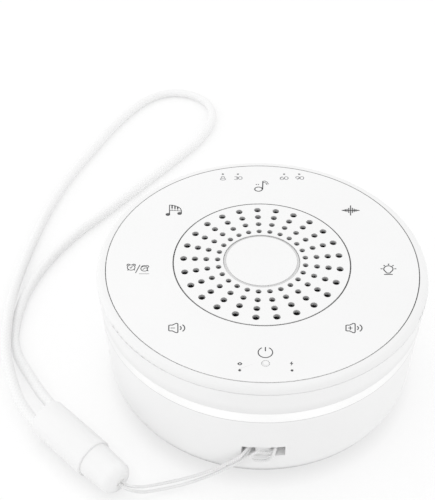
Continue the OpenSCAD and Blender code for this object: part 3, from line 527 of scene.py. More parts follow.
def glass_board(name, mask, track_tone, pitch):
    """Circuit board: tracks run along both axes where two broad noises pass a level, pads sit in
    cells, and the mask is glossy with the glass weave faintly in relief."""
    board = Finish(name)
    x, y, _ = board.axes()
    along_x = x.wave(pitch) * board.grain(0.006, 0, (1, 0.2, 1)).ramp(0.49, 0.52)
    along_y = y.wave(pitch) * board.grain(0.007, 0, (0.2, 1, 1)).ramp(0.5, 0.53)
    tracks = along_x.math("MAXIMUM", along_y).ramp(0.45, 0.6)
    pads = 1 - board.cells(0.0035).ramp(0.1, 0.14)
    weave = (x.wave(0.0007) * y.wave(0.0007)) * 0.3 + tracks * 0.7
    colour = board.tint(tracks, mask, track_tone)
    return board.shell(
        board.tint(pads, colour, (0.75, 0.74, 0.7)),
        0.28 + board.grain(0.0008) * 0.14,
        board.relief(weave, 0.00004),
        Metallic=pads * 0.8,
        Coat_Roughness=0.15,
    )


dress(glass_board("green_board", (0.02, 0.12, 0.05), (0.035, 0.2, 0.08), 0.0011), "main_board")

resin = Finish("chip_resin")
fleck = resin.cells(0.00012)
gloss = 0.5 + resin.grain(0.0003, 4) * 0.3
dress(resin.patterned(fleck, (0.018, 0.018, 0.02), (0.045, 0.045, 0.047), gloss, 0.000012), "main_chips")

can = Finish("capacitor_sleeve")
x, y, z = can.axes()
lid = z.ramp(0.01605, 0.0161)
scored = (x * 1000 + y * 700).wave(0.35) * lid
sleeve = can.tint(can.grain(0.002), (0.02, 0.03, 0.09), (0.03, 0.05, 0.13))
dress(
    can.shell(
        can.tint(lid, sleeve, (0.72, 0.72, 0.73)),
        0.3 + can.grain(0.0004, 3) * 0.2,
        can.relief(scored, 0.00003),
        Metallic=lid,
    ),
    "capacitors",
)

nylon = Finish("socket_nylon")
dress(
    nylon.shell(
        nylon.tint(nylon.grain(0.0012, 3), (0.74, 0.71, 0.62), (0.84, 0.82, 0.74)),
        0.42 + nylon.grain(0.0002, 2) * 0.2,
        nylon.relief(nylon.grain(0.0003), 0.00002),
    ),
    "wire_sockets",
)

# ---- Charging socket -----------------------------------------------------------------------
# A drawn steel shell round a contact tongue, nickel plated, soldered to the board's rear edge.
# Its mouth stands in the opening at the back of the case.


def plated(name, colour, gloss, brushed, depth):
    """Plated steel: short scratches along one direction, blotches of duller plating in the gloss."""
    metal = Finish(name)
    scratch = metal.grain(0.0004, 3, brushed)
    blotch = metal.grain(0.004, 3)
    return metal.shell(
        metal.tint(blotch, [c * 0.88 for c in colour], colour),
        gloss + scratch * 0.16 + blotch * 0.12,
        metal.relief(scratch, depth),
        Metallic=1.0,
    )


nickel = plated("nickel_shell", (0.66, 0.65, 0.63), 0.16, (1, 8, 1), 0.000006)
eased("usb_socket", 0.00008, nickel)

# ---- Battery -------------------------------------------------------------------------------
# A lithium pouch cell in aluminium foil on a foam pad. The foil is dimpled by its winding, and
# a band of amber tape wraps the end where its leads come out.
pouch = Finish("cell_foil")
dimples = pouch.grain(0.005, 4)
tape = pouch.axes()[1].ramp(0.0036, 0.0037)
foil = pouch.tint(dimples, (0.6, 0.6, 0.61), (0.74, 0.74, 0.75))
dress(
    pouch.shell(
        pouch.tint(tape, foil, (0.62, 0.36, 0.06)),
        0.26 + dimples * 0.2,
        pouch.relief(dimples, 0.0003),
        Metallic=1 - tape * 0.85,
    ),
    "battery",
)


def foamed(name, dark, light):
    """Closed-cell foam: pores show as dark dots and in the relief."""
    foam = Finish(name)
    pores = foam.cells(0.00035)
    return foam.patterned(pores, dark, light, 0.85 + foam.grain(0.001) * 0.1, 0.00015)


dress(foamed("black_foam", (0.03, 0.03, 0.032), (0.11, 0.11, 0.115)), "battery_pad", "speaker_gasket")

# ---- Wiring --------------------------------------------------------------------------------
# Pairs of stranded wire in PVC run from the board to the speaker and the cell, grey pairs to
# the night light, and a flat ribbon joins the board to the touch board above.


def insulation(name, colour, streak):
    """Extruded PVC: streaks along the wire from the die, a soft shine and a slightly uneven tone."""
    cover = Finish(name)
    lines = cover.grain(streak, 3, (1, 1, 0.25))
    dark = [c * 0.75 for c in colour]
    return cover.patterned(lines, dark, colour, 0.36 + lines * 0.2, 0.00003, Coat_Weight=0.15)


dress(insulation("red_pvc", (0.6, 0.03, 0.02), 0.0006), "speaker_wires", "battery_wires")
dress(insulation("grey_pvc", (0.42, 0.42, 0.44), 0.0005), "led_wires")

ribbon = Finish("ribbon_polyester")
ribs = ribbon.axes()[0].wave(0.001)
gloss = 0.34 + ribbon.grain(0.001) * 0.15
dress(ribbon.patterned(ribs, (0.5, 0.5, 0.52), (0.72, 0.72, 0.74), gloss, 0.0001), "ribbon_cable")

# ---- Night light ---------------------------------------------------------------------------
# Twelve warm LEDs sit on a white ring-shaped board behind a milky polycarbonate ring. The ring is part of
# the outer wall. It glows faintly as a night light, and the glow is also painted light that brightens the
# ring, strongest at the front.
LAMPS = 12
dress(glass_board("white_ring_board", (0.8, 0.8, 0.78), (0.72, 0.72, 0.7), 0.0014), "led_board")

emitter = Finish("led_lens")
phosphor = emitter.axes()[2].ramp(0.0337, 0.034) * (1 - emitter.cells(0.0009).ramp(0.5, 0.9) * 0.2)
dress(
    emitter.shell(
        emitter.tint(phosphor, (0.82, 0.82, 0.8), (0.85, 0.68, 0.2)),
        0.3 + emitter.grain(0.0005) * 0.2,
        emitter.relief(emitter.grain(0.0004), 0.00002),
    ),
    "night_leds",
    "indicator_leds",
)

milky = Finish("milky_diffuser")
x, y, _ = milky.axes()
bearing = y.math("ARCTAN2", x)
pools = (bearing * LAMPS - LAMPS * math.radians(15)).wave(2 * math.pi) * 0.2 + 0.8
# Painted light: the glow is strongest at the front.
ahead = 1 - y.ramp(-0.048, -0.02)
haze = milky.grain(0.0025, 3)
diffuser = milky.shell(
    milky.tint(haze, (0.88, 0.88, 0.88), (0.91, 0.91, 0.91)),
    0.42 + milky.grain(0.0003, 2) * 0.1,
    milky.relief(milky.grain(0.0003, 2), 0.000004),
    Emission_Color=milky.tint(pools * (ahead * 0.9 + 0.1), (0.0, 0.0, 0.0), (1.0, 1.0, 0.99)),
    Emission_Strength=0.15,
    IOR=1.58,
)
eased("light_ring", 0.0001, diffuser)

# ---- Upper shell ---------------------------------------------------------------------------
# The upper half of the case, the same white ABS. It clamps the night-light ring on the base
# and ends in a narrow seam under the bezel.
# Painted shade near the seam over the light ring, fading up the wall:
NEAR_SEAM_SHADE = (0.86, 0.86, 0.86)
NEAR_SEAM_LOW = 0.0345
NEAR_SEAM_HIGH = 0.0385
UPPER_SEAM = 0.03452


def upper_tones(plastic, tone):
    """Painted shade greys the seam over the light ring and fades out up the wall."""
    height = plastic.axes()[2]
    tone = plastic.tint(height.ramp(NEAR_SEAM_LOW, NEAR_SEAM_HIGH), NEAR_SEAM_SHADE, tone)
    return plastic.tint(height.ramp(UPPER_SEAM, UPPER_SEAM + 0.00016), SEAM_SHADE_GREY, tone)


upper_abs = moulded("upper_abs", SHELL_WHITE, 0.36, 0.00022, 0.000006, upper_tones, MATT)
eased("upper_shell", 0.00014, upper_abs)

# ---- Top bezel -----------------------------------------------------------------------------
# A polished ring with a rounded shoulder, snapped over the upper shell and round the panel.
# Painted shade greys the narrow wall that faces the panel.
BEZEL_WHITE = (0.885, 0.885, 0.885)
# Painted shade on the wall that faces the panel:
BEZEL_GAP_SHADE = (0.5, 0.5, 0.5)
BEZEL_INNER = 0.0473


def bezel_tones(plastic, tone):
    """Painted shade greys the narrow wall that faces the panel, most of it at the rear right."""
    x, y, _ = plastic.axes()
    wall = 1 - plastic.radius().ramp(BEZEL_INNER + 0.00002, BEZEL_INNER + 0.00008)
    gap_shade = (x * 0.6 + y).ramp(-0.045, 0.04)
    return plastic.tint(wall * gap_shade, tone, BEZEL_GAP_SHADE)


bezel_abs = moulded("bezel_abs", BEZEL_WHITE, 0.24, 0.00035, 0.000003, bezel_tones, MATT)
eased("top_bezel", 0.00012, bezel_abs)

# ---- Loudspeaker ---------------------------------------------------------------------------
# A full-range driver: stamped basket, butyl surround, pulp cone with a domed cap, copper coil on its former,
# woven spider, and a ferrite magnet between two steel plates. The surround and the spider are moulded soft
# rings that bend as the cone moves; here each is built in one fixed shape.
ROUND = 96
SOFT = 0.3


def flexing(name, middle, hub, rim, node, finish):
    """A soft ring between the cone and the case. Its profile is the middle line, radius and height
    in millimetres, plus and minus half its thickness along the normal, closed and turned about Z.
    Each point's share of the case, t * t * (3 - 2 * t) where t is the part of the way from the hub radius to
    the rim radius, is worked out but not given to the ring, which rides no body."""
    slope = np.gradient(middle, axis=0)
    normal = np.column_stack([-slope[:, 1], slope[:, 0]]) / np.linalg.norm(slope, axis=1)[:, None]
    profile = np.vstack([middle - normal * SOFT / 2, (middle + normal * SOFT / 2)[::-1]]) * 0.001
    turn = np.arange(ROUND) * 2 * math.pi / ROUND
    turned = [np.outer(wave(turn), profile[:, 0]) for wave in (np.cos, np.sin)]
    turned.append(np.broadcast_to(profile[:, 1], (ROUND, len(profile))))
    points = np.stack(turned, -1).reshape(-1, 3)
    here, step = np.meshgrid(np.arange(ROUND), np.arange(len(profile)), indexing="ij")
    row, ahead = here * len(profile), (here + 1) % ROUND * len(profile)
    above = (step + 1) % len(profile)
    quads = np.stack([row + step, ahead + step, ahead + above, row + above], -1).reshape(-1, 4)
    piece = new_piece(name, points, quads.tolist(), None, finish)
    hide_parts(node)
    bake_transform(piece)
    # The blend above measures along a line. The ring needs the distance from its axis.
    share = np.clip((np.hypot(points[:, 0], points[:, 1]) * 1000 - hub) / (rim - hub), 0, 1)
    share = share * share * (3 - 2 * share)


dress(plated("basket_zinc", (0.5, 0.5, 0.51), 0.34, (1, 1, 6), 0.000015), "speaker_basket")

FLANGE_Z = 41.5
LIP_Z = FLANGE_Z + SOFT / 2
ROLL_AT = 19
ROLL_R = 1.325
LIP_ARC = math.asin(SOFT / 2 / ROLL_R)
bow = np.linspace(math.pi - LIP_ARC, LIP_ARC, 25)
roll = np.column_stack([ROLL_AT + ROLL_R * np.cos(bow), FLANGE_Z + ROLL_R * np.sin(bow)])
surround_line = np.vstack([[(16.6, LIP_Z), (17.2, LIP_Z)], roll, [(21, LIP_Z), (22.5, LIP_Z)]])
butyl = Finish("butyl_surround")
dusty = butyl.grain(0.0015, 4)
butyl_rubber = butyl.shell(
    butyl.tint(dusty, (0.018, 0.018, 0.019), (0.04, 0.04, 0.041)),
    0.5 + dusty * 0.3,
    butyl.relief(butyl.grain(0.0003, 3), 0.00003),
)
flexing("surround_roll", surround_line, 17.68, 20.32, "speaker_surround", butyl_rubber)

pulp = Finish("cone_pulp")
fibres = pulp.grain(0.0009, 5, (1, 2.6, 1)).math("MAXIMUM", pulp.grain(0.0009, 5, (2.6, 1, 1)))
gloss = 0.78 + fibres * 0.18
felted = pulp.patterned(fibres, (0.03, 0.03, 0.032), (0.12, 0.118, 0.115), gloss, 0.00012)
dress(felted, "speaker_cone", "dust_cap")

winding = Finish("coil_winding")
wire_turn = winding.axes()[2].wave(0.00018)
gloss = 0.26 + winding.grain(0.0006) * 0.15
copper = winding.patterned(wire_turn, (0.3, 0.1, 0.04), (0.78, 0.36, 0.18), gloss, 0.00006, Metallic=0.9)
dress(copper, "voice_coil")

SPIDER_HUB = 6.9
SPIDER_Z = 35.15
PLEAT = 1.4
reach = np.linspace(SPIDER_HUB, 13.2, 64)
pleat_z = SPIDER_Z + SOFT / 2 * np.cos((reach - SPIDER_HUB) * 2 * math.pi / PLEAT)
pleats = np.column_stack([reach, pleat_z])
spider = Finish("spider_weave")
x, y, _ = spider.axes()
threads = x.wave(0.0006).math("MAXIMUM", y.wave(0.0006))
gloss = 0.8 + spider.grain(0.001) * 0.15
weave = spider.patterned(threads, (0.3, 0.2, 0.08), (0.66, 0.5, 0.26), gloss, 0.00012)
flexing("spider_cloth_ring", pleats, 8.4, 13.0, "speaker_spider", weave)

dress(plated("yoke_zinc", (0.56, 0.56, 0.58), 0.3, (6, 1, 1), 0.00002), "top_plate", "pole_yoke")

magnet = Finish("sintered_ferrite")
chips = magnet.cells(0.0007)
gloss = 0.55 + magnet.grain(0.0004, 4) * 0.3
ferrite = magnet.patterned(chips, (0.035, 0.035, 0.038), (0.075, 0.075, 0.08), gloss, 0.00006)
dress(ferrite, "speaker_magnet")

phenolic = Finish("phenolic_tag")
layers = phenolic.grain(0.0012, 4, (1, 1, 9))
gloss = 0.5 + layers * 0.25
tag = phenolic.patterned(layers, (0.16, 0.07, 0.02), (0.34, 0.17, 0.06), gloss, 0.00005)
dress(tag, "terminal_strip")

# ---- Screws --------------------------------------------------------------------------------
# Pan-head self-tapping screws of bright zinc hold the speaker and the boards, and four longer
# ones close the case from below.
dress(
    plated("screw_zinc", (0.6, 0.6, 0.62), 0.22, (5, 5, 1), 0.00001),
    "speaker_screws",
    "touch_board_screws",
    "led_board_screws",
    "main_board_screws",
    "case_screws",
)

# ---- Touch board ---------------------------------------------------------------------------
# A black ring-shaped board under the panel, with one gilt contact spring for each key and an
# LED under each window.
dress(glass_board("black_touch_board", (0.012, 0.012, 0.014), (0.03, 0.03, 0.033), 0.0016), "touch_board")
dress(plated("spring_gilt", (0.83, 0.62, 0.28), 0.2, (1, 1, 5), 0.00001), "touch_springs")

# ---- Grille, dust cloth and centre disc ----------------------------------------------------
# A round plate with four rings of drilled holes is let into the panel. Black knitted cloth is
# stretched behind it, and a plain disc with a low step round it is pressed in at the centre.
BRIGHT_WHITE = (0.9, 0.9, 0.9)
# Painted shade in the holes and round the disc's step:
HOLE_SHADE = (0.64, 0.64, 0.64)
HOLE_DEEP_SHADE = (0.2, 0.2, 0.2)
STEP_SHADE = (0.72, 0.72, 0.72)


def drilled_tones(plastic, tone):
    """Painted shade greys the edge of the plate and the walls of the holes, darkest by the cloth."""
    z = plastic.axes()[2]
    wall = plastic.tint(z.ramp(0.0438, 0.0441), HOLE_DEEP_SHADE, HOLE_SHADE)
    return plastic.tint(z.ramp(0.04488, 0.04497), wall, tone)


grille_abs = moulded("grille_abs", BRIGHT_WHITE, 0.34, 0.00025, 0.000004, drilled_tones)
eased("speaker_grille", 0.00006, grille_abs)

knit = Finish("dust_knit")
x, y, _ = knit.axes()
loops = (x + y * 0.5).wave(0.0005) * (x - y * 0.5).wave(0.0005)
gloss = 0.9 + knit.grain(0.0008) * 0.08
dark, light = (0.004, 0.004, 0.004), (0.02, 0.02, 0.021)
dress(knit.patterned(loops, dark, light, gloss, 0.0001, Specular_IOR_Level=0.2), "grille_cloth")


def step_tones(plastic, tone):
    """Painted shade dulls the low step round the disc and the wall above it."""
    return plastic.tint(plastic.axes()[2].ramp(0.0448, 0.04496), STEP_SHADE, tone)


disc_abs = moulded("disc_abs", BRIGHT_WHITE, 0.28, 0.0004, 0.000003, step_tones)
eased("centre_disc", 0.00008, disc_abs, 3)

# ---- Touch panel ---------------------------------------------------------------------------
# A white polycarbonate ring on a ring of white foam tape, printed from above. Its keys have no
# relief: a finger on a symbol is felt by the spring under it.
# Painted shade on the cut edge round the grille:
PANEL_EDGE_SHADE = (0.45, 0.45, 0.45)
dress(foamed("white_foam_tape", (0.55, 0.55, 0.55), (0.75, 0.75, 0.75)), "panel_tape")


def panel_tones(plastic, tone):
    """Painted shade greys the cut edge round the grille. The outer edge keeps its plain tone."""
    edge = (1 - plastic.axes()[2].ramp(0.04488, 0.04496)) * (1 - plastic.radius().ramp(0.03, 0.031))
    return plastic.tint(edge, tone, PANEL_EDGE_SHADE)


panel_sheet = moulded("panel_polycarbonate", BRIGHT_WHITE, 0.3, 0.0003, 0.000003, panel_tones)
eased("touch_panel", 0.00008, panel_sheet)

# ---- Printed symbols -----------------------------------------------------------------------
# Thin grey ink, screen printed on the panel: a symbol at each key, times beside the windows.
# Each is a set of flat bars carried along lines, or filled shapes, sunk a little into the face.
PANEL_TOP = 45.0
INK_FOOT = PANEL_TOP - 0.005
INK_TOP = PANEL_TOP + 0.01


def arc(x, y, radius, first, last, squash=1.0):
    """Points on an arc of an ellipse about (x, y), from one angle to another in degrees."""
    count = max(8, int(abs(last - first) / 12))
    angle = np.radians(np.linspace(first, last, count))
    return np.stack([x + radius * np.cos(angle), y + radius * squash * np.sin(angle)], 1)


def ink_bar(points, width, closed=False):
    """A flat bar along a line: each point moves half the width to both sides along the mitre of
    its two spans' normals, at the ink's foot and at its top. Returns points and faces."""
    line = np.array(points, float)
    if closed:
        before, after = line - np.roll(line, 1, 0), np.roll(line, -1, 0) - line
    else:
        span = np.diff(line, axis=0)
        before, after = np.vstack([span[:1], span]), np.vstack([span, span[-1:]])
    before = before / np.linalg.norm(before, axis=1)[:, None]
    after = after / np.linalg.norm(after, axis=1)[:, None]
    mitre = before + after
    mitre = np.stack([-mitre[:, 1], mitre[:, 0]], 1) / np.linalg.norm(mitre, axis=1)[:, None]
    reach = np.clip(np.abs(mitre @ np.eye(2) * np.stack([-after[:, 1], after[:, 0]], 1)).sum(1), 0.6, 1)
    half = mitre * (width / 2 / reach)[:, None]
    left, right = line + half, line - half
    edge = [(left, INK_FOOT), (right, INK_FOOT), (right, INK_TOP), (left, INK_TOP)]
    rings = np.stack([np.column_stack([xy, np.full(len(xy), z)]) for xy, z in edge], 1)
    count = len(line)
    rows = np.arange(count if closed else count - 1)[:, None] * 4
    ahead = (rows + 4) % (count * 4)
    k = np.arange(4)[None, :]
    up = (k + 1) % 4
    quads = np.stack([rows + k, ahead + k, ahead + up, rows + up], -1)
    faces = quads.reshape(-1, 4).tolist()
    if not closed:
        faces += [[0, 1, 2, 3], [count * 4 - 1 - n for n in range(4)]]
    return rings.reshape(-1, 3), faces


def ink_fill(outline):
    """A flat filled shape: its outline at the ink's foot and at its top, a wall between them and
    one face over each. Returns points and faces."""
    line = np.array(outline, float)
    count = len(line)
    foot = np.column_stack([line, np.full(count, INK_FOOT)])
    top = np.column_stack([line, np.full(count, INK_TOP)])
    here = np.arange(count)
    ahead = (here + 1) % count
    walls = np.stack([here, ahead, ahead + count, here + count], -1).tolist()
    return np.vstack([foot, top]), walls + [here[::-1].tolist(), (here + count).tolist()]


def ring(x, y, radius, width, squash=1.0):
    """A closed bar round an ellipse: the last 15 degrees are the bar's closing span."""
    return ink_bar(arc(x, y, radius, 0, 345, squash), width, True)


def dot(x, y, radius, squash=1.0):
    """A filled ellipse."""
    return ink_fill(arc(x, y, radius, 0, 345, squash))


def upright(centre):
    """How far a symbol there leans to the right for each millimetre of its height, so that it
    looks upright from the front: on the panel, the line along which the view's run to the side
    stays the same."""
    side, back = (np.array(camera.matrix_world.col[n][:3]) for n in (0, 2))
    sight = np.array((*centre, PANEL_TOP)) * 0.001 - np.array(camera.matrix_world.translation)
    slope = side * (sight @ back) - back * (sight @ side)
    return -slope[1] / slope[0]


def screen_ink(name, colour):
    """Printed ink: pinholes and a slightly uneven edge tone where the mesh of the screen lay."""
    print_layer = Finish(name)
    x, y, _ = print_layer.axes()
    mesh_mark = x.wave(0.00012) * y.wave(0.00012)
    body = print_layer.grain(0.0004, 3)
    return print_layer.shell(
        print_layer.tint(mesh_mark * 0.5 + body * 0.5, colour, [c * 1.35 for c in colour]),
        0.5 + body * 0.2,
        print_layer.relief(mesh_mark, 0.000005),
    )


key_ink = screen_ink("key_ink", (0.07, 0.07, 0.073))
mark_ink = screen_ink("mark_ink", (0.24, 0.24, 0.25))
pale_ink = screen_ink("pale_ink", (0.5, 0.5, 0.5))


def symbol(name, centre, parts, ink=key_ink, tall=1.0):
    """One printed symbol at its centre on the panel, from bars and fills, joined in one mesh. It
    is stretched upwards by tall and leans by upright()."""
    points = []
    faces = []
    for part_points, part_faces in parts:
        faces += [[n + sum(map(len, points)) for n in face] for face in part_faces]
        points.append(part_points)
    across, ahead, height = np.vstack(points).T
    ahead = ahead * tall
    across = across + upright(centre) * ahead
    placed = np.stack([across + centre[0], ahead + centre[1], height], 1) * 0.001
    piece = new_piece(name, placed, faces, "case", ink)
    piece.data.shade_flat()
    solid = bmesh.new()
    solid.from_mesh(piece.data)
    bmesh.ops.recalc_face_normals(solid, faces=solid.faces)
    solid.to_mesh(piece.data)
    solid.free()


THIN = 0.26
MEDIUM = 0.3
LINE = 0.34
BOLD = 0.36

loudspeaker = [
    [-2.1, 0.93], [-1.85, 1.1], [-1.1, 1.1], [-0.1, 1.75], [0.25, 1.75], [0.45, 1.5],
    [0.45, -1.5], [0.25, -1.75], [-0.1, -1.75], [-1.1, -1.1], [-1.85, -1.1], [-2.1, -0.93],
]
sound_waves = [ink_bar(arc(0.6, 0, 0.77, 58, -58), LINE), ink_bar(arc(0.85, 0, 1.52, 55, -55), LINE)]
minus = [ink_bar([[-1.6, 0], [-0.35, 0]], THIN)]
plus = [ink_bar([[-1.55, 0], [-0.25, 0]], THIN), ink_bar([[-0.9, 0.66], [-0.9, -0.66]], MEDIUM)]
speaker = [ink_bar(loudspeaker, 0.32, True), *sound_waves]
symbol("volume_down_symbol", (-24.65, -27.85), speaker + minus)
symbol("volume_up_symbol", (24.97, -27.64), speaker + plus)

power = [ink_bar(arc(0, 0, 1.98, 119, 421, 0.95), MEDIUM), ink_bar([[0, 1.9], [0, 0.4]], 0.32)]
symbol("power_symbol", (0.06, -36.7), power)

heights = (0.3, 0.62, 0.75, 1.25, 2.5, 1.3, 0.85, 0.62, 0.3)
strokes = [(0.575 * (n - 4), high) for n, high in enumerate(heights)]
wave_parts = [ink_bar([[x, high], [x, -high]], BOLD) for x, high in strokes]
wave_parts.append(ink_bar([[-2.85, 0], [2.9, 0]], BOLD))
symbol("sound_wave_symbol", (29.25, 23.57), wave_parts)

bulb = np.vstack([[[-0.5, -1.55]], arc(-0.05, 0.25, 1.38, 232, -52), [[0.42, -1.55]]])
bold_lines = [
    [[-1.35, -2.08], [1.25, -2.08]],
    [[0, 1.95], [0, 2.6]],
    [[-1.1, 1.5], [-1.5, 1.95]],
    [[1.1, 1.5], [1.5, 1.95]],
    [[-1.75, 0.35], [-2.4, 0.35]],
    [[1.7, 0.35], [2.35, 0.35]],
]
bulb_parts = [ink_bar(bulb, LINE), ink_bar([[-0.55, -1.5], [0.5, -1.5]], LINE)]
bulb_parts += [ink_bar(line, BOLD) for line in bold_lines]
symbol("night_light_symbol", (37.85, -3.96), bulb_parts)

first_clock = [
    ring(-2.03, 0.6, 1.15, 0.28),
    ink_bar([[-2.45, 0.75], [-2.15, 0.3], [-1.65, 1.2]], THIN),
    ink_bar(arc(-2.85, 1.65, 0.42, 20, 220), LINE),
    ink_bar(arc(-1.2, 1.65, 0.42, 160, -40), LINE),
    ink_bar([[-2.85, -0.25], [-3.15, -0.6]], MEDIUM),
    ink_bar([[-1.2, -0.25], [-0.9, -0.6]], MEDIUM),
]
second_clock = [
    ink_bar(arc(1.93, 0.1, 1.05, 20, 325), 0.28, True),
    ink_bar([[1.45, -0.3], [2.1, 0.45], [2.75, 0.3]], THIN),
    ink_bar([[1.0, 1.0], [1.5, 1.4], [2.3, 1.45]], THIN),
    ink_bar(arc(2.75, 1.0, 0.5, 140, -40), MEDIUM),
    ink_bar([[2.8, -0.5], [3.1, -0.95]], MEDIUM),
]
slash = [ink_bar([[0.63, 1.8], [-0.75, -1.8]], 0.28)]
symbol("alarm_symbol", (-37.23, -3.94), first_clock + second_clock + slash)
symbol("alarm_underline", (-35.25, -6.0), [ink_bar([[-1.5, 0], [1.5, 0]], 0.42)], pale_ink)

keyboard = [
    [-1.42, -2.2], [-1.42, 2.5], [-0.5, 2.42], [0.4, 2.1],
    [1.3, 1.6], [2.0, 0.9], [2.36, 0.0], [2.4, -1.6],
]
keys = ((-0.6, 2.4, 0.8), (0.33, 2.1, 0.6), (1.2, 1.6, 0.4))
symbol(
    "melody_symbol",
    (-27.69, 23.62),
    [
        ink_bar(keyboard, LINE),
        ink_bar([[-1.4, -0.2], [0.6, -0.3], [2.3, -0.5]], THIN),
        *[ink_bar([[x, high], [x + 0.02, low]], 0.46) for x, high, low in keys],
        *[ink_bar([[x, low], [x + 0.02, -0.25]], 0.16) for x, _, low in keys],
        dot(-1.95, -2.25, 0.74, 0.95),
        dot(1.8, -1.75, 0.74, 0.95),
    ],
)

symbol(
    "song_symbol",
    (0.85, 35.95),
    [
        ring(-0.95, -1.5, 1.25, 0.4, 0.88),
        ink_bar([[0.4, -1.6], [0.52, 2.8]], 0.4),
        ink_bar([[0.5, 2.75], [1.2, 2.85], [1.9, 2.3], [2.35, 1.1]], THIN),
        ink_bar([[0.6, 2.0], [1.1, 2.1], [1.6, 1.65], [1.85, 0.8]], THIN),
        dot(-1.67, 0.98, 0.24),
        dot(-0.98, 0.98, 0.24),
    ],
)

nought = ring(0.72, 0, 0.62, MEDIUM, 1.5)
bows = np.vstack([arc(-0.75, 0.45, 0.55, 150, -75), arc(-0.75, -0.45, 0.6, 75, -150)])
six = [ring(-0.72, -0.38, 0.6, MEDIUM), ink_bar(arc(-0.15, -0.2, 1.17, 178, 105), MEDIUM)]
nine = [ring(-0.72, 0.38, 0.6, MEDIUM), ink_bar(arc(-1.29, 0.2, 1.17, -2, -75), MEDIUM)]
symbol("thirty_minutes_mark", (-6.85, 40.4), [ink_bar(bows, MEDIUM), nought], mark_ink, 0.85)
symbol("sixty_minutes_mark", (8.62, 40.4), [*six, nought], mark_ink, 0.85)
symbol("ninety_minutes_mark", (13.85, 40.45), [*nine, nought], mark_ink, 0.85)
timer = [ink_bar(arc(0, 0.45, 0.55, 200, -20, 1.1), THIN), ring(0, -0.45, 0.85, MEDIUM, 0.62)]
symbol("timer_mark", (-11.95, 40.25), timer, mark_ink)
low_cell = [ring(0, 0, 0.38, MEDIUM), dot(-0.48, 0, 0.2), dot(0.48, 0, 0.2)]
symbol("low_cell_mark", (-6.95, -40.79), low_cell)
bolt = [[0.2, 0.85], [-0.5, -0.1], [-0.06, -0.1], [-0.18, -0.85], [0.52, 0.16], [0.08, 0.16]]
symbol("charging_mark", (6.97, -40.62), [ink_fill(bolt)])

# ---- Windows and status lens ---------------------------------------------------------------
# Six pins of smoked acrylic fill the holes over the indicator LEDs, the rear four a paler smoke.
# The status lens is a milky button with a pearly face, pressed in below the power key.
smoked = Finish("smoked_acrylic")
bubbles = smoked.cells(0.0003)
dress(
    smoked.shell(
        smoked.tint(
            smoked.axes()[1].ramp(-0.001, 0.001),
            smoked.tint(bubbles, (0.06, 0.06, 0.062), (0.11, 0.11, 0.112)),
            smoked.tint(bubbles, (0.16, 0.16, 0.162), (0.22, 0.22, 0.222)),
        ),
        0.16 + smoked.grain(0.0004) * 0.12,
        smoked.relief(bubbles, 0.000006),
        Coat_Weight=0.3,
    ),
    "indicator_windows",
)

PEARL_AT = (0.00012, -0.04046)
pearl = Finish("pearl_lens")
# Painted shade: the face greys towards its rim.
rim = pearl.radius(*PEARL_AT).ramp(0.00055, 0.0009)
pearly = pearl.shell(
    pearl.tint(rim, (0.9, 0.9, 0.9), (0.76, 0.76, 0.765)),
    0.12 + pearl.grain(0.0005) * 0.1,
    pearl.relief(pearl.grain(0.0008), 0.000006),
    Coat_Weight=0.6,
)
eased("status_lens", 0.0002, pearly, 4)

# ---- Table, lamps and sky ------------------------------------------------------------------
# The machine stands on a wide white table under an even sky, with one soft lamp to the upper left and one
# low at each side. The table brightens to the eye but keeps the shadows, and a painted contact shadow dims
# its own light near the machine.
CORNER = 1.5
CONTACT_SHADOW_REACH = 0.006
TABLE_LIGHT = 0.77
CONTACT_SHADOW_LIGHT = 0.66
SKY = 0.9
corners = [(-CORNER, -CORNER, 0), (CORNER, -CORNER, 0), (CORNER, CORNER, 0), (-CORNER, CORNER, 0)]
table = bpy.data.meshes.new("table")
table.from_pydata(corners, [], [(0, 1, 2, 3)])
table_piece = bpy.data.objects.new("table", table)
bpy.context.scene.collection.objects.link(table_piece)


def seen_directly(finish):
    """1 for rays from the camera, off gloss or through glass, and 0 for the light on the object."""
    path = finish.node("ShaderNodeLightPath")
    direct = path.out("Is Camera Ray").math("MAXIMUM", path.out("Is Glossy Ray"))
    return direct.math("MAXIMUM", path.out("Is Transmission Ray"))


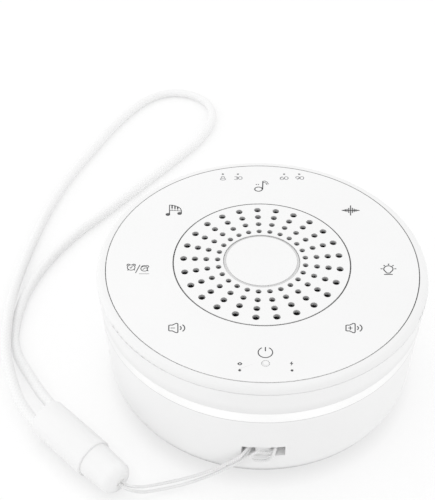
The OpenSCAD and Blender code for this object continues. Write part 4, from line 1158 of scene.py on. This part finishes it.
top = Finish("white_table")
mottle = top.tint(top.grain(0.4, 2), (0.22, 0.22, 0.22), (0.24, 0.24, 0.24))
lit = top.node("ShaderNodeBsdfDiffuse", None, {"Color": mottle})
glow = top.node("ShaderNodeEmission", None, {"Color": (1, 1, 1), "Strength": TABLE_LIGHT})
shadowed_glow = top.node("ShaderNodeEmission", None, {"Color": (1, 1, 1), "Strength": CONTACT_SHADOW_LIGHT})
# Painted contact shadow: the table's own light dims where ambient occlusion finds the machine close by.
painted_contact_shadow = top.node("ShaderNodeAmbientOcclusion", {"samples": 8}, {"Distance": CONTACT_SHADOW_REACH}).out("AO")
own_light = top.node("ShaderNodeMixShader", None, {0: painted_contact_shadow, 1: shadowed_glow, 2: glow})
shown = top.node("ShaderNodeAddShader", None, {0: lit, 1: own_light})
working = top.node("ShaderNodeBsdfDiffuse", None, {"Color": (0.9, 0.9, 0.9)})
table_top = top.node("ShaderNodeMixShader", None, {0: seen_directly(top), 1: working, 2: shown})
top.node("ShaderNodeOutputMaterial", None, {"Surface": table_top})
table.materials.append(top.material)

sky = Finish("white_sky", bpy.data.worlds)
bpy.context.scene.world = sky.material
even = sky.node("ShaderNodeBackground", None, {"Color": (1, 1, 1), "Strength": SKY})
white = sky.node("ShaderNodeBackground", None, {"Color": (1, 1, 1), "Strength": 1.0})
dome = sky.node("ShaderNodeMixShader", None, {0: seen_directly(sky), 1: even, 2: white})
sky.node("ShaderNodeOutputWorld", None, {"Surface": dome})


def soft_lamp(name, place, size, watts):
    """A square lamp at place that faces the machine."""
    light = bpy.data.lights.new(name, "AREA")
    light.size = size
    light.energy = watts
    lamp = bpy.data.objects.new(name, light)
    lamp.location = place
    lamp.rotation_euler = (Vector(place) - Vector((0, 0, 0.02))).to_track_quat("Z", "Y").to_euler()
    bpy.context.scene.collection.objects.link(lamp)


soft_lamp("upper_left_lamp", (-0.3, 0.3, 0.65), 0.4, 0.75)
soft_lamp("left_lamp", (-0.8, -0.3, 0.15), 0.5, 1.0)
soft_lamp("right_lamp", (0.8, -0.2, 0.25), 0.5, 0.75)

bpy.context.scene.view_settings.view_transform = "Standard"
